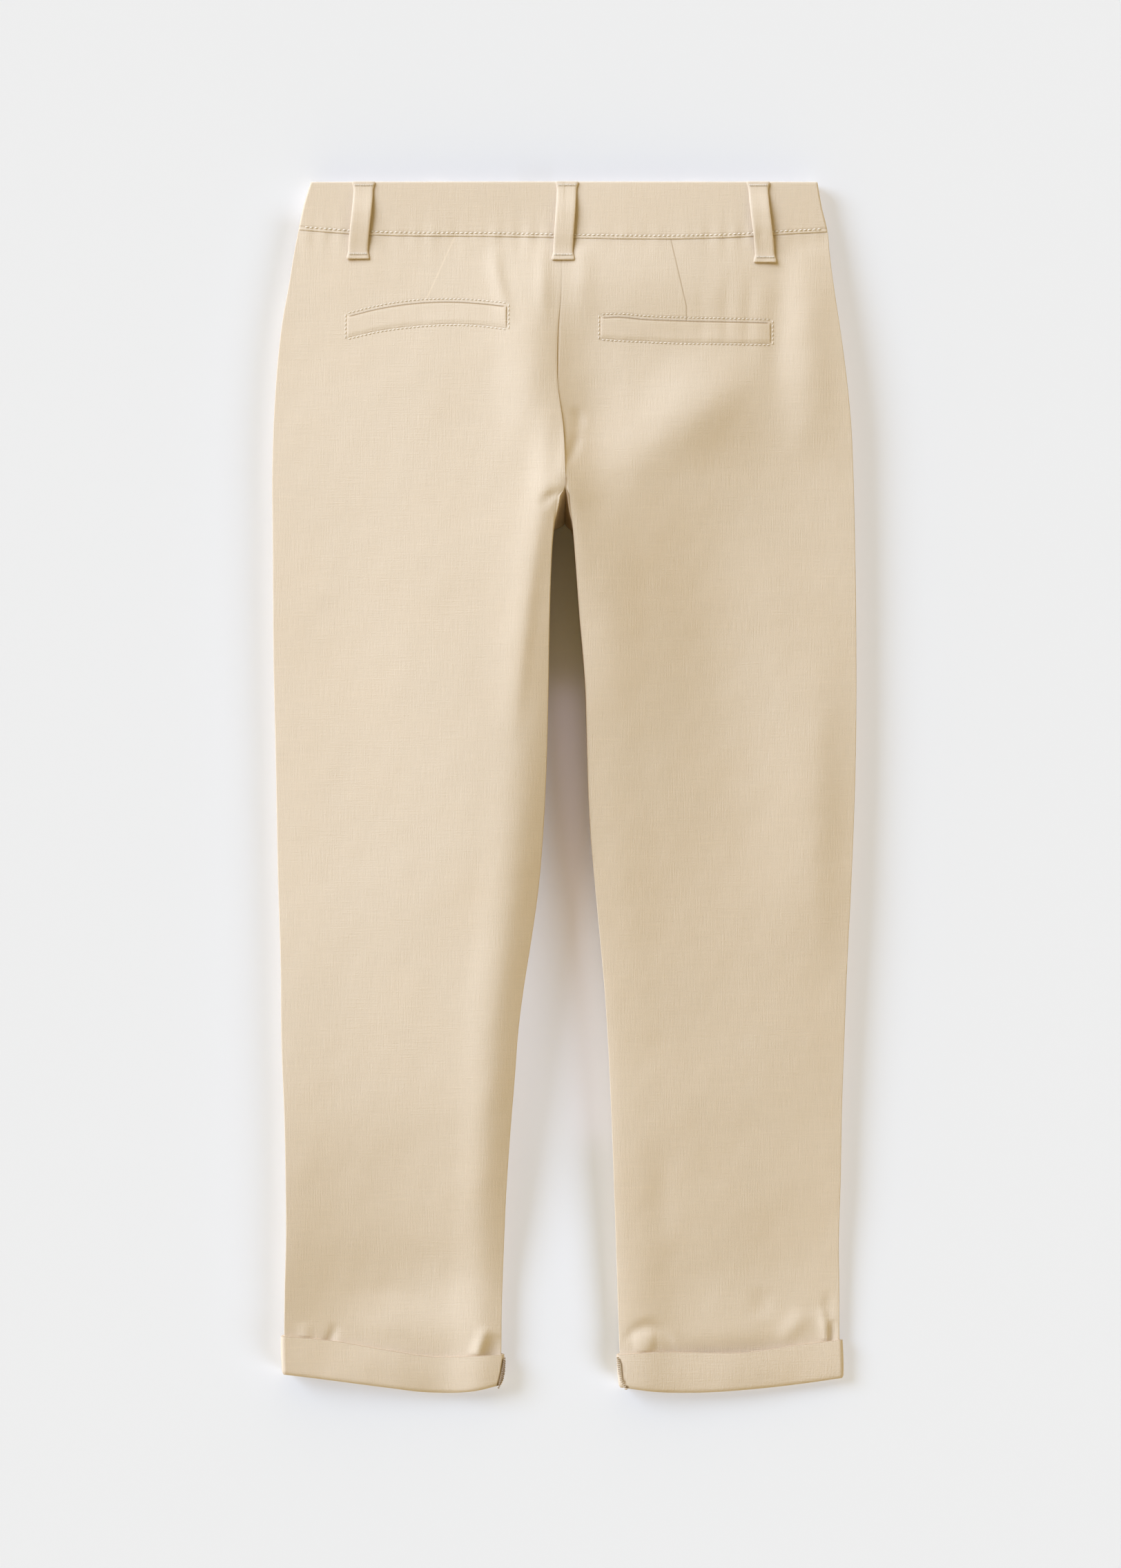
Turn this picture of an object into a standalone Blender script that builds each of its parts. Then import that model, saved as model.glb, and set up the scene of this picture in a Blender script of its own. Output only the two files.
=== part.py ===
"""Ankle-length chino trousers with turned-up cuffs, lying flat with their back side up.

Two front panels lie on the surface and two lofted back panels close over them. The waistband, belt loops,
pocket welts, cuffs and fly button are pieces of their own.
Left is the wearer's left, at -X; the waist is at +Y.
"""

from collections import namedtuple
import math

import bmesh
import bpy
import numpy as np

# Every size below is in millimetres and becomes metres when a mesh is made.
MM = 0.001

# Driving dimensions
TOTAL_LENGTH = 876.6        # waist edge to the lowest point of the cuffs
SEAM_GAP = 0.3              # clearance where two pieces are sewn together
PANEL_WALL = 1.1            # one layer of cotton twill
BAND_WALL = 2.4             # waistband, cloth folded double over its stiffening
BAND_PROUD = 0.5            # how far the band's outer face stands over the panel's
BAND_REST = 2.4             # height of the front waistband's underside, which lies on its loops and button
CUFF_WALL = 2.0             # turned-up hem, two layers
CUFF_CLEAR = 0.3            # between the leg's cloth and the cuff round it
WELT_WALL = 1.2             # folded pocket welt
LYING_CLEAR = 0.4           # between a panel and what lies on it
LOOP_WALL = 1.3             # belt loop, a strip folded double
LOOP_STAND = 2.4            # free space under a belt loop for the belt
FRONT_OVERLAP = 9.0         # the buttoned waistband end reaches this far past the centre front

# The side edges' distances from the centre line at stations from the waist edge down.
Section = namedtuple("Section", "down out_left out_right")
SECTIONS = (
    Section(0, 183.8, 183.3),
    Section(17, 188.8, 186.2),
    Section(37, 192.9, 190.7),
    Section(50, 195.3, 191.8),
    Section(75, 199.3, 194.8),
    Section(100, 203.8, 198.5),
    Section(125, 206.8, 202.0),
    Section(150, 208.8, 205.0),
    Section(175, 210.2, 207.3),
    Section(212, 211.2, 209.0),
    Section(262, 210.8, 210.2),
    Section(350, 210.2, 211.2),
    Section(412, 208.8, 210.8),
    Section(512, 206.8, 207.3),
    Section(562, 205.2, 204.8),
    Section(625, 204.5, 202.4),
    Section(675, 202.5, 200.8),
    Section(725, 201.5, 200.0),
    Section(765, 201.3, 198.8),
    Section(800, 202.2, 199.2),
    Section(835, 202.6, 199.4),
    Section(876, 201.4, 200.6),
)

# Height of the cloth on top of each half, at six places from its rim beside the side seam to its inner edge
# beside the centre back or the inseam. The columns after "down" belong to these places.
LOFT_PLACES = (0.0, 0.25, 0.5, 0.75, 0.9, 1.0)
Loft = namedtuple("Loft", "down rim quarter middle three_quarter crest edge")
LEFT_LOFT = (
    Loft(0, 15.5, 17.5, 18.5, 19.0, 19.0, 19.0),
    Loft(37, 17.0, 20.0, 21.5, 22.5, 23.0, 23.0),
    Loft(75, 19.5, 23.5, 26.5, 29.0, 30.5, 30.5),
    Loft(125, 21.5, 27.0, 32.0, 36.0, 39.5, 39.5),
    Loft(175, 22.5, 29.5, 35.5, 40.5, 45.5, 45.5),
    Loft(262, 23.5, 31.0, 37.5, 43.5, 50.0, 48.0),
    Loft(390, 23.0, 30.0, 36.5, 42.5, 47.5, 44.5),
    Loft(467, 22.5, 29.0, 35.5, 41.5, 45.0, 41.0),
    Loft(540, 22.5, 27.5, 33.5, 39.0, 42.5, 38.0),
    Loft(617, 22.0, 25.0, 30.0, 35.5, 39.5, 36.0),
    Loft(670, 21.5, 22.5, 26.5, 32.0, 36.0, 33.5),
    Loft(717, 20.0, 19.5, 22.0, 27.0, 31.5, 29.5),
    Loft(760, 19.0, 18.5, 20.0, 23.5, 27.5, 26.5),
    Loft(792, 19.0, 18.5, 19.5, 21.5, 24.5, 23.5),
    Loft(835, 19.5, 20.5, 21.5, 22.5, 23.0, 22.5),
    Loft(876, 19.5, 21.0, 22.0, 22.5, 23.0, 22.5),
)
RIGHT_LOFT = (
    Loft(0, 15.5, 17.5, 18.5, 19.0, 19.0, 19.0),
    Loft(37, 17.0, 19.5, 21.0, 22.5, 23.0, 23.0),
    Loft(75, 19.5, 22.0, 24.5, 29.0, 31.0, 31.0),
    Loft(125, 21.0, 25.0, 29.5, 36.0, 39.5, 40.0),
    Loft(175, 20.5, 25.0, 31.0, 39.5, 44.5, 46.0),
    Loft(262, 19.5, 23.5, 29.5, 39.0, 46.5, 50.0),
    Loft(390, 19.5, 24.5, 30.0, 37.0, 43.0, 45.0),
    Loft(467, 20.0, 24.5, 29.5, 35.5, 40.0, 41.5),
    Loft(540, 20.0, 24.0, 28.5, 33.5, 37.0, 38.5),
    Loft(617, 19.5, 23.0, 27.0, 31.0, 34.0, 35.5),
    Loft(670, 19.0, 21.5, 25.0, 28.5, 31.0, 32.5),
    Loft(717, 18.0, 20.0, 22.5, 25.5, 27.5, 28.5),
    Loft(760, 18.0, 19.0, 20.5, 22.5, 24.0, 24.5),
    Loft(792, 18.0, 18.5, 19.5, 21.0, 22.0, 22.5),
    Loft(835, 19.0, 19.5, 20.5, 21.5, 22.0, 22.0),
    Loft(876, 19.0, 20.0, 21.0, 21.5, 22.0, 22.0),
)

# Width over which each edge of the two halves rolls down to its seam.
Rolled = namedtuple("Rolled", "down left_outer left_inner right_inner right_outer")
ROLLED = (
    Rolled(0, 9, 14, 14, 8),
    Rolled(175, 9, 14, 12, 8),
    Rolled(262, 9, 11, 9, 8),
    Rolled(317, 9, 10, 9, 8),
    Rolled(467, 9, 11, 9, 8),
    Rolled(617, 9, 12, 9, 8),
    Rolled(717, 9, 12, 9, 8),
    Rolled(876, 9, 9, 8, 7),
)
ROLL_POWER = 2.4            # fullness of a rolled edge, 2 for a quarter ellipse

# The underside: how high it lies over the surface, and how far its side edges turn up to the side seams.
# Between two stations it rests flat.
FLAT_FROM = 96.0
FLAT_TO = 806.0
Underside = namedtuple("Underside", "down rest lift")
UNDERSIDE = (
    Underside(0, BAND_REST, 0.4),
    Underside(62, BAND_REST, 0.4),
    Underside(FLAT_FROM, 0.0, 0.4),
    Underside(FLAT_TO, 0.0, 0.4),
    Underside(836, CUFF_WALL + CUFF_CLEAR, 0.4),
    Underside(876, CUFF_WALL + CUFF_CLEAR, 0.4),
)
EDGE_TURN = 15.0            # width of the turned-up margin beside a seam
TURN_POWER = 2.2            # how its slope grows towards the seam

# The centre-back seam wanders a little between waist and crotch.
CentreBack = namedtuple("CentreBack", "down across")
CENTRE_BACK = (
    CentreBack(30, -1.6),
    CentreBack(58, -1.8),
    CentreBack(80, -2.3),
    CentreBack(105, -4.4),
    CentreBack(147, -4.7),
    CentreBack(177, -0.9),
    CentreBack(215, 0.8),
    CentreBack(250, 0.4),
)

# The two inseams from the crotch to the hem, and where their lines run on over the seat up to the waist.
Inseam = namedtuple("Inseam", "down left right")
INSEAM = (
    Inseam(0, -1.5, 0.0),
    Inseam(100, -2.5, 0.5),
    Inseam(200, -4.8, 1.2),
    Inseam(240, -6.4, 1.6),
    Inseam(262, -8.5, 2.0),
    Inseam(290, -9.8, 2.9),
    Inseam(318, -10.8, 5.2),
    Inseam(372, -11.5, 8.6),
    Inseam(398, -12.3, 11.2),
    Inseam(435, -13.3, 14.2),
    Inseam(472, -15.3, 17.0),
    Inseam(510, -18.5, 21.2),
    Inseam(548, -23.8, 25.8),
    Inseam(585, -29.6, 29.1),
    Inseam(610, -32.8, 30.8),
    Inseam(648, -35.8, 32.8),
    Inseam(685, -38.8, 34.4),
    Inseam(735, -42.2, 36.2),
    Inseam(772, -43.8, 37.5),
    Inseam(818, -45.4, 39.0),
    Inseam(850, -45.8, 40.2),
    Inseam(876, -47.6, 42.0),
)
DIVE_START = 190.0          # where the seat begins to fall towards the crotch
CROTCH = 246.5              # where the four panels meet
SPLIT = 7.0                 # length over which the inseams part below the crotch
TURN_START = 21.0           # length over which the margins beside the inseams begin to turn up
DIVE_POWER = 2.2            # how late the seat falls: its slope grows towards the crotch

# Large folds on the back panels: ridges are positive, hollows negative. Each runs along a slightly bowed line
# and has a width towards the wearer's left and another towards the right of that line.
Fold = namedtuple("Fold", "side x1 down1 x2 down2 bow left_width right_width height")
FOLDS = (
    Fold(1, 5, 222, 150, 118, -3, 30, 28, 4.5),         # ridge from the crotch up across the right seat
    Fold(1, 160, -20, 146, 200, -5, 12, 12, 2.6),       # ridge beside the right side seam
    Fold(-1, -2, 10, -2, 196, 0, 11, 9, -3.4),          # hollow along the left of the centre-back seam
    Fold(1, -2, 10, -2, 196, 0, 9, 8, -3.4),            # and along its right
    Fold(1, 14, 0, 11, 150, 0, 8, 9, 1.4),              # ridge beside that hollow
)
FOLD_FADE = 30.0            # folds fade in over this length under the waistband
FOLD_END_POWER = 1.7        # how softly a fold ends

# Waistband seam, welts and cuffs follow these lines over the back: distance down at a distance across.
Line = namedtuple("Line", "across down")
WAIST_SEAM = (
    Line(-193, 34.4),
    Line(-150, 37.8),
    Line(-59, 39.5),
    Line(136, 39.5),
    Line(152, 38.4),
    Line(191, 36.0),
)

Welt = namedtuple("Welt", "across top bottom")
LEFT_WELT = (
    Welt(-156.5, 97.6, 112.6),
    Welt(-134.0, 92.1, 107.6),
    Welt(-109.0, 88.4, 104.4),
    Welt(-84.0, 87.4, 102.9),
    Welt(-59.0, 88.8, 104.0),
    Welt(-42.0, 90.8, 106.4),
)
RIGHT_WELT = (
    Welt(26.6, 98.9, 113.4),
    Welt(39.0, 98.3, 114.2),
    Welt(56.0, 99.8, 115.1),
    Welt(88.0, 101.0, 116.2),
    Welt(121.0, 101.6, 116.6),
    Welt(148.7, 102.2, 116.9),
)

Cuff = namedtuple("Cuff", "across top bottom")
LEFT_CUFF = (
    Cuff(-205, 834.5, 862.5),
    Cuff(-170, 838.0, 867.0),
    Cuff(-129, 845.2, 872.6),
    Cuff(-96, 850.2, 876.5),
    Cuff(-63, 849.5, 875.2),
    Cuff(-45, 848.5, 871.0),
)
RIGHT_CUFF = (
    Cuff(41, 848.5, 872.5),
    Cuff(66, 846.6, 875.8),
    Cuff(91, 847.0, 876.5),
    Cuff(131, 847.2, 874.5),
    Cuff(166, 842.5, 871.0),
    Cuff(202, 838.0, 866.0),
)
CUFF_LIP = 4.4              # depth of the fold at the cuff's lower edge, over which the leg's cloth ends
CUFF_LIP_CLEAR = 0.7        # between that fold and the end of the leg's cloth
CUFF_FOLD_WALL = PANEL_WALL + 0.1   # how far the fold reaches in past the leg's outer face
CUFF_MIDDLE = 850.0         # station of the cuffs' middle

# Section of a cuff, each point by its distance out from the leg's face and by its distance below the cuff's
# top edge or above its lower edge.
CuffPoint = namedtuple("CuffPoint", "out below_top above_end")
CUFF_SECTION = (
    CuffPoint(CUFF_CLEAR, 0.6, None),
    CuffPoint(CUFF_CLEAR + 0.6, 0.0, None),
    CuffPoint(CUFF_CLEAR + CUFF_WALL - 0.6, 0.0, None),
    CuffPoint(CUFF_CLEAR + CUFF_WALL, 0.8, None),
    CuffPoint(CUFF_CLEAR + CUFF_WALL, None, 3.0),
    CuffPoint(CUFF_CLEAR + CUFF_WALL - 1.0, None, 0.7),
    CuffPoint((CUFF_CLEAR + CUFF_WALL - CUFF_FOLD_WALL) / 2, None, 0.0),
    CuffPoint(0.7 - CUFF_FOLD_WALL, None, 0.7),
    CuffPoint(-CUFF_FOLD_WALL, None, 2.4),
    CuffPoint(-CUFF_FOLD_WALL, None, CUFF_LIP),
    CuffPoint(CUFF_CLEAR, None, CUFF_LIP),
)

# Belt loops: where the centre of each lies at the waist edge and at its lower end.
Loop = namedtuple("Loop", "name top_across end_across end_down")
BACK_LOOPS = (
    Loop("loop_back_left", -145.2, -149.2, 55.5),
    Loop("loop_back_centre", 1.8, -1.0, 56.5),
    Loop("loop_back_right", 140.2, 145.0, 58.0),
)
FRONT_LOOPS = (
    Loop("loop_front_left", -92.0, -94.5, 56.0),
    Loop("loop_front_right", 94.0, 96.5, 56.0),
)
LOOP_WIDTH = 13.4
LOOP_FLARE = 2.4            # extra width at the bar-tacked ends
LOOP_FLARE_REACH = 6.0      # length over which the ends widen
LOOP_TACK = 2.0             # length of the sewn-down ends
LOOP_RISE = 9.0             # length over which the loop then rises to its full stand

BUTTON_SIDES = 28
BUTTON_RADIUS = 8.5
BUTTON_THICK = 2.0
BUTTON_DISH = 0.6           # depth of the hollow inside the button's rim
BUTTON_RIM = 1.6            # width of that rim
BUTTON_DOWN = 20.0          # middle of the front waistband
BUTTON_HOLE_RADIUS = 0.8
BUTTON_HOLE_SPREAD = 1.7    # from the button's centre to each sewing hole, along both axes

# Grid steps: stretches of the panels from the waist down, with the number of steps in each.
Stretch = namedtuple("Stretch", "start end steps")
STRETCHES = (
    Stretch(40, 200, 11),
    Stretch(200, 256, 8),
    Stretch(256, 300, 2),
    Stretch(300, 800, 9),
    Stretch(800, 865, 4),
)
ACROSS_STEPS = 18
FRONT_ACROSS_STEPS = 9
BAND_ACROSS_STEPS = 30
BAND_DOWN_STEPS = 3
WELT_ACROSS_STEPS = 14
WELT_DOWN_STEPS = 3
LOOP_STEPS = 12
PANEL_TOP = 40.0            # nominal station of the panels' upper edge
PANEL_END = 865.0           # nominal station of the panels' lower edge
EDGE_SHIFT = 70.0           # the panels' rows bend to their real edges over this length

TWILL = (0.735, 0.610, 0.445, 1.0)
TWILL_BAND = (0.715, 0.592, 0.430, 1.0)
TWILL_TRIM = (0.725, 0.600, 0.436, 1.0)
BUTTON_COLOUR = (0.40, 0.29, 0.18, 1.0)


def column(table, name):
    """One named column of a table as an array."""
    return np.array([getattr(row, name) for row in table], dtype=float)


def smooth(at, stations, values):
    """A smooth cubic curve through the values at their stations, read at any place."""
    slopes = np.gradient(values, stations)
    at = np.clip(at, stations[0], stations[-1])
    cell = np.clip(np.searchsorted(stations, at, side="right") - 1, 0, len(stations) - 2)
    width = stations[cell + 1] - stations[cell]
    t = (at - stations[cell]) / width
    start = (1 + 2 * t) * (1 - t) ** 2 * values[cell] + t * (1 - t) ** 2 * width * slopes[cell]
    end = t * t * (3 - 2 * t) * values[cell + 1] - t * t * (1 - t) * width * slopes[cell + 1]
    return start + end


def along(table, name, down):
    """A table's column read at a distance below the waist edge."""
    return smooth(down, column(table, "down"), column(table, name))


def over(table, name, x):
    """A table's column read at a distance across the garment."""
    return smooth(x, column(table, "across"), column(table, name))


def ease(t):
    """0 to 1 with level ends."""
    t = np.clip(t, 0.0, 1.0)
    return t * t * (3 - 2 * t)


def roll(t):
    """Height of a rounded edge: upright at its foot, level once t reaches 1."""
    t = np.clip(t, 0.0, 1.0)
    return (1 - (1 - t) ** ROLL_POWER) ** (1 / ROLL_POWER)


def edges(side, down):
    """Outer and inner edge of one half: side seam, and centre seam that becomes the inseam."""
    outer = side * along(SECTIONS, "out_left" if side < 0 else "out_right", down)
    centre = along(CENTRE_BACK, "across", down) + side * SEAM_GAP / 2
    leg = along(INSEAM, "left" if side < 0 else "right", down)
    parted = ease((down - CROTCH) / SPLIT)
    return outer, centre + (leg - centre) * parted


def place(side, across, down):
    """Position across the garment of a point of one half, from its side seam (0) to its inner edge (1)."""
    outer, inner = edges(side, down)
    return outer + (inner - outer) * across


def underside(side, across, down):
    """Height of the lower face of a front panel."""
    outer, inner = edges(side, down)
    width = np.abs(inner - outer)
    turn_outer = np.clip(1 - across * width / EDGE_TURN, 0, 1) ** TURN_POWER
    turn_inner = np.clip(1 - (1 - across) * width / EDGE_TURN, 0, 1) ** TURN_POWER
    parted = ease((down - CROTCH + SPLIT) / TURN_START)
    rest = along(UNDERSIDE, "rest", down)
    lift = along(UNDERSIDE, "lift", down)
    lies_flat = (down > FLAT_FROM) & (down < FLAT_TO)
    rest = np.where(lies_flat, 0.0, np.clip(rest, 0.0, None))
    return rest + lift * (turn_outer + turn_inner * parted)


def fold_height(side, x, down):
    """Sum of the large folds of one half."""
    total = np.zeros(np.broadcast(x, down).shape)
    for fold in FOLDS:
        if fold.side != side:
            continue
        run_x = fold.x2 - fold.x1
        run_down = fold.down2 - fold.down1
        length = math.hypot(run_x, run_down)
        t = ((x - fold.x1) * run_x + (down - fold.down1) * run_down) / length ** 2
        off = ((x - fold.x1) * run_down - (down - fold.down1) * run_x) / length
        if run_down < 0:
            off = -off
        off = off - fold.bow * 4 * t * (1 - t)
        width = np.where(off < 0, fold.left_width, fold.right_width)
        ends = np.sin(math.pi * np.clip(t, 0, 1)) ** FOLD_END_POWER
        total = total + fold.height * np.exp(-(off / width) ** 2) * ends
    return total * ease((down - PANEL_TOP) / FOLD_FADE)


def rolled(side, down):
    """Widths of the rolled edges of one half: at its side seam and at its inner edge."""
    word = "left" if side < 0 else "right"
    return along(ROLLED, word + "_outer", down), along(ROLLED, word + "_inner", down)


def loft_height(side, x, down):
    """Height of the cloth on top between its rolled edges, through the six heights of its station."""
    outer = edges(side, down)[0]
    inner = along(INSEAM, "left" if side < 0 else "right", down)
    outer_roll, inner_roll = rolled(side, down)
    share = (np.abs(x - outer) - outer_roll) / (np.abs(inner - outer) - outer_roll - inner_roll)
    share = np.clip(share, 0.0, 1.0)
    table = LEFT_LOFT if side < 0 else RIGHT_LOFT
    heights = np.array([along(table, name, down) for name in Loft._fields[1:]])
    places = np.array(LOFT_PLACES)
    slopes = np.gradient(heights, places, axis=0)
    cell = np.clip(np.searchsorted(places, share, side="right") - 1, 0, len(places) - 2)
    width = places[cell + 1] - places[cell]
    t = (share - places[cell]) / width
    low, high = (np.take_along_axis(heights, (cell + step)[None], axis=0)[0] for step in (0, 1))
    low_slope, high_slope = (np.take_along_axis(slopes, (cell + step)[None], axis=0)[0] for step in (0, 1))
    start = (1 + 2 * t) * (1 - t) ** 2 * low + t * (1 - t) ** 2 * width * low_slope
    end = t * t * (3 - 2 * t) * high - t * t * (1 - t) * width * high_slope
    return start + end


def upper_height(side, across, down):
    """Height of the outer face of a back panel."""
    outer, inner = edges(side, down)
    width = np.abs(inner - outer)
    x = place(side, across, down)
    loft = loft_height(side, x, down)
    foot = underside(side, across.round(), down) + PANEL_WALL + LYING_CLEAR
    outer_roll, inner_roll = rolled(side, down)
    from_side = roll(across * width / outer_roll)
    from_inner = roll((1 - across) * width / inner_roll)
    dive = np.clip((down - DIVE_START) / (CROTCH - DIVE_START), 0, 1) ** DIVE_POWER
    rise = from_side * (1 - dive * (1 - from_inner))
    return foot + (loft - foot) * rise + fold_height(side, x, down) * rise


def panel_rows():
    """Stations of the panels' rows, the same at the back and at the front, so that their seams meet."""
    stations = [np.linspace(s.start, s.end, s.steps, endpoint=False) for s in STRETCHES]
    return np.append(np.concatenate(stations), STRETCHES[-1].end)


def columns_of(steps):
    """Places across a panel, closer together towards both edges."""
    return (1 - np.cos(math.pi * np.arange(steps + 1) / steps)) / 2


def panel_stations(side, steps):
    """Grid of places across and stations down, bent to the waist seam and to the cuff's fold."""
    nominal, across = np.meshgrid(panel_rows(), columns_of(steps), indexing="ij")
    x = place(side, across, nominal)
    cuff = LEFT_CUFF if side < 0 else RIGHT_CUFF
    top = over(WAIST_SEAM, "down", x) + SEAM_GAP / 2
    end = over(cuff, "bottom", x) - CUFF_LIP - CUFF_LIP_CLEAR
    near_top = ease((PANEL_TOP + EDGE_SHIFT - nominal) / EDGE_SHIFT)
    near_end = ease((nominal - PANEL_END + EDGE_SHIFT) / EDGE_SHIFT)
    down = nominal + (top - PANEL_TOP) * near_top + (end - PANEL_END) * near_end
    return across, down


def points(x, down, z):
    """Rows of points in the garment's frame, waist towards +Y."""
    return np.stack([x, TOTAL_LENGTH / 2 - down, z + 0 * x], axis=-1)


def face_normals(grid, upward):
    """Unit normals of a grid of points, on its upper or its lower side."""
    normal = np.cross(np.gradient(grid, axis=0), np.gradient(grid, axis=1))
    normal = normal / np.linalg.norm(normal, axis=-1, keepdims=True)
    facing_up = normal[..., 2].mean() > 0
    return normal if facing_up == upward else -normal


def add_object(name, vertices, faces, colour, roughness):
    """A mesh object with its faces pointing out and a material of its own."""
    mesh = bpy.data.meshes.new(name)
    mesh.from_pydata((np.asarray(vertices) * MM).tolist(), [], [list(map(int, f)) for f in faces])
    body = bmesh.new()
    body.from_mesh(mesh)
    bmesh.ops.triangulate(body, faces=body.faces[:])
    if body.calc_volume(signed=True) < 0:
        bmesh.ops.reverse_faces(body, faces=body.faces[:])
    body.to_mesh(mesh)
    body.free()
    mesh.shade_smooth()
    mesh.set_sharp_from_angle(angle=math.radians(50))
    part = bpy.data.objects.new(name, mesh)
    bpy.context.scene.collection.objects.link(part)
    finish = bpy.data.materials.new(name)
    finish.use_nodes = True
    shader = finish.node_tree.nodes["Principled BSDF"]
    shader.inputs["Base Color"].default_value = colour
    shader.inputs["Roughness"].default_value = roughness
    shader.inputs["Metallic"].default_value = 0.0
    mesh.materials.append(finish)
    return part


def add_wall(name, outer, inner, colour, roughness=0.85):
    """A sheet of cloth: its outer grid, its inner grid and the strip round their rims."""
    rows, columns = outer.shape[:2]
    count = rows * columns
    index = np.arange(count).reshape(rows, columns)
    cells = np.stack([index[:-1, :-1], index[1:, :-1], index[1:, 1:], index[:-1, 1:]], axis=-1).reshape(-1, 4)
    rim = np.concatenate([index[0, :-1], index[:-1, -1], index[-1, :0:-1], index[:0:-1, 0]])
    following = np.roll(rim, -1)
    strip = np.stack([rim, following, following + count, rim + count], axis=-1)
    faces = np.concatenate([cells, cells[:, ::-1] + count, strip])
    vertices = np.concatenate([outer.reshape(-1, 3), inner.reshape(-1, 3)])
    return add_object(name, vertices, faces, colour, roughness)


def add_back_panel(name, side):
    """Lofted back panel, from the waist seam over the seat and down the leg into the cuff."""
    across, down = panel_stations(side, ACROSS_STEPS)
    outer = points(place(side, across, down), down, upper_height(side, across, down))
    inner = outer - PANEL_WALL * face_normals(outer, upward=True)
    joined = down[:, -1] < CROTCH + SPLIT / 2
    inner[:, 0, 2] = outer[:, 0, 2]
    inner[joined, -1, 0] = outer[joined, -1, 0]
    inner[~joined, -1, 2] = outer[~joined, -1, 2]
    inner[0, :, 1] = outer[0, :, 1]
    inner[-1, :, 1] = outer[-1, :, 1]
    return add_wall(name, outer, inner, TWILL)


def add_front_panel(name, side):
    """Front panel, flat on the surface with its margins turned up to the side seam and the inseam."""
    across, down = panel_stations(side, FRONT_ACROSS_STEPS)
    outer = points(place(side, across, down), down, underside(side, across, down))
    inner = outer - PANEL_WALL * face_normals(outer, upward=False)
    inner[:, 0, 0] = outer[:, 0, 0]
    inner[:, -1, 0] = outer[:, -1, 0]
    inner[0, :, 1] = outer[0, :, 1]
    inner[-1, :, 1] = outer[-1, :, 1]
    return add_wall(name, outer, inner, TWILL)


def band_height(x, down):
    """Height of the outer face of the waistband's back, which carries on the back panels' form."""
    foot = BAND_REST + along(UNDERSIDE, "lift", down) + BAND_WALL + LYING_CLEAR
    loft = np.where(x < 0, loft_height(-1, x, down), loft_height(1, x, down)) + BAND_PROUD
    from_left = (x + along(SECTIONS, "out_left", down)) / rolled(-1, down)[0]
    from_right = (along(SECTIONS, "out_right", down) - x) / rolled(1, down)[0]
    return foot + (loft - foot) * roll(from_left) * roll(from_right)


def band_stations(first, last, steps):
    """Grid over the waistband between two places across, each -1 at the left side seam and 1 at the right."""
    rows = np.linspace(0, 1, BAND_DOWN_STEPS + 1)
    columns = np.sin(np.linspace(first, last, steps + 1) * math.pi / 2)
    share, place_across = np.meshgrid(rows, columns, indexing="ij")
    at_seam = -along(SECTIONS, "out_left", PANEL_TOP) * (place_across < 0) * -place_across
    at_seam = at_seam + along(SECTIONS, "out_right", PANEL_TOP) * (place_across > 0) * place_across
    down = share * (over(WAIST_SEAM, "down", at_seam) - SEAM_GAP / 2)
    left = -along(SECTIONS, "out_left", down)
    right = along(SECTIONS, "out_right", down)
    return left + (right - left) * (place_across + 1) / 2, down


def add_band_back():
    """Back of the waistband, a stiffened double layer."""
    x, down = band_stations(-1, 1, BAND_ACROSS_STEPS)
    outer = points(x, down, band_height(x, down))
    inner = outer - BAND_WALL * face_normals(outer, upward=True)
    inner[:, 0, 2] = outer[:, 0, 2]
    inner[:, -1, 2] = outer[:, -1, 2]
    inner[0, :, 1] = outer[0, :, 1]
    inner[-1, :, 1] = outer[-1, :, 1]
    return add_wall("waistband_back", outer, inner, TWILL_BAND)


def add_band_front(name, first, last, steps):
    """One side of the front waistband, lying level on its loops and button."""
    x, down = band_stations(first, last, steps)
    lift = along(UNDERSIDE, "lift", down)
    to_seam = np.minimum(x + along(SECTIONS, "out_left", down), along(SECTIONS, "out_right", down) - x)
    turn = np.clip(1 - to_seam / EDGE_TURN, 0, 1) ** TURN_POWER
    outer = points(x, down, BAND_REST + lift * turn)
    inner = outer - BAND_WALL * face_normals(outer, upward=False)
    inner[..., :2] = outer[..., :2]
    return add_wall(name, outer, inner, TWILL_BAND)


def panel_height(side, x, down):
    """Height of a back panel's outer face between its own grid points, and level with them past its edges."""
    across_grid, down_grid = panel_stations(side, ACROSS_STEPS)
    height_grid = upper_height(side, across_grid, down_grid)
    lines = range(ACROSS_STEPS + 1)
    on_lines = np.array([np.interp(down, down_grid[:, line], height_grid[:, line]) for line in lines])
    outer, inner = edges(side, down)
    across = np.clip((x - outer) / (inner - outer), 0, 1)
    stations = columns_of(ACROSS_STEPS)
    cell = np.clip(np.searchsorted(stations, across, side="right") - 1, 0, ACROSS_STEPS - 1)
    share = (across - stations[cell]) / (stations[cell + 1] - stations[cell])
    low = np.take_along_axis(on_lines, cell[None], axis=0)[0]
    high = np.take_along_axis(on_lines, cell[None] + 1, axis=0)[0]
    return low + (high - low) * share


def seat_height(x, down):
    """Height of the outer face over any place on the seat, the waistband's above its seam."""
    centre = along(CENTRE_BACK, "across", down)
    on_panels = np.where(x < centre, panel_height(-1, x, down), panel_height(1, x, down))
    return np.where(down < over(WAIST_SEAM, "down", x), band_height(x, down), on_panels)


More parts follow.
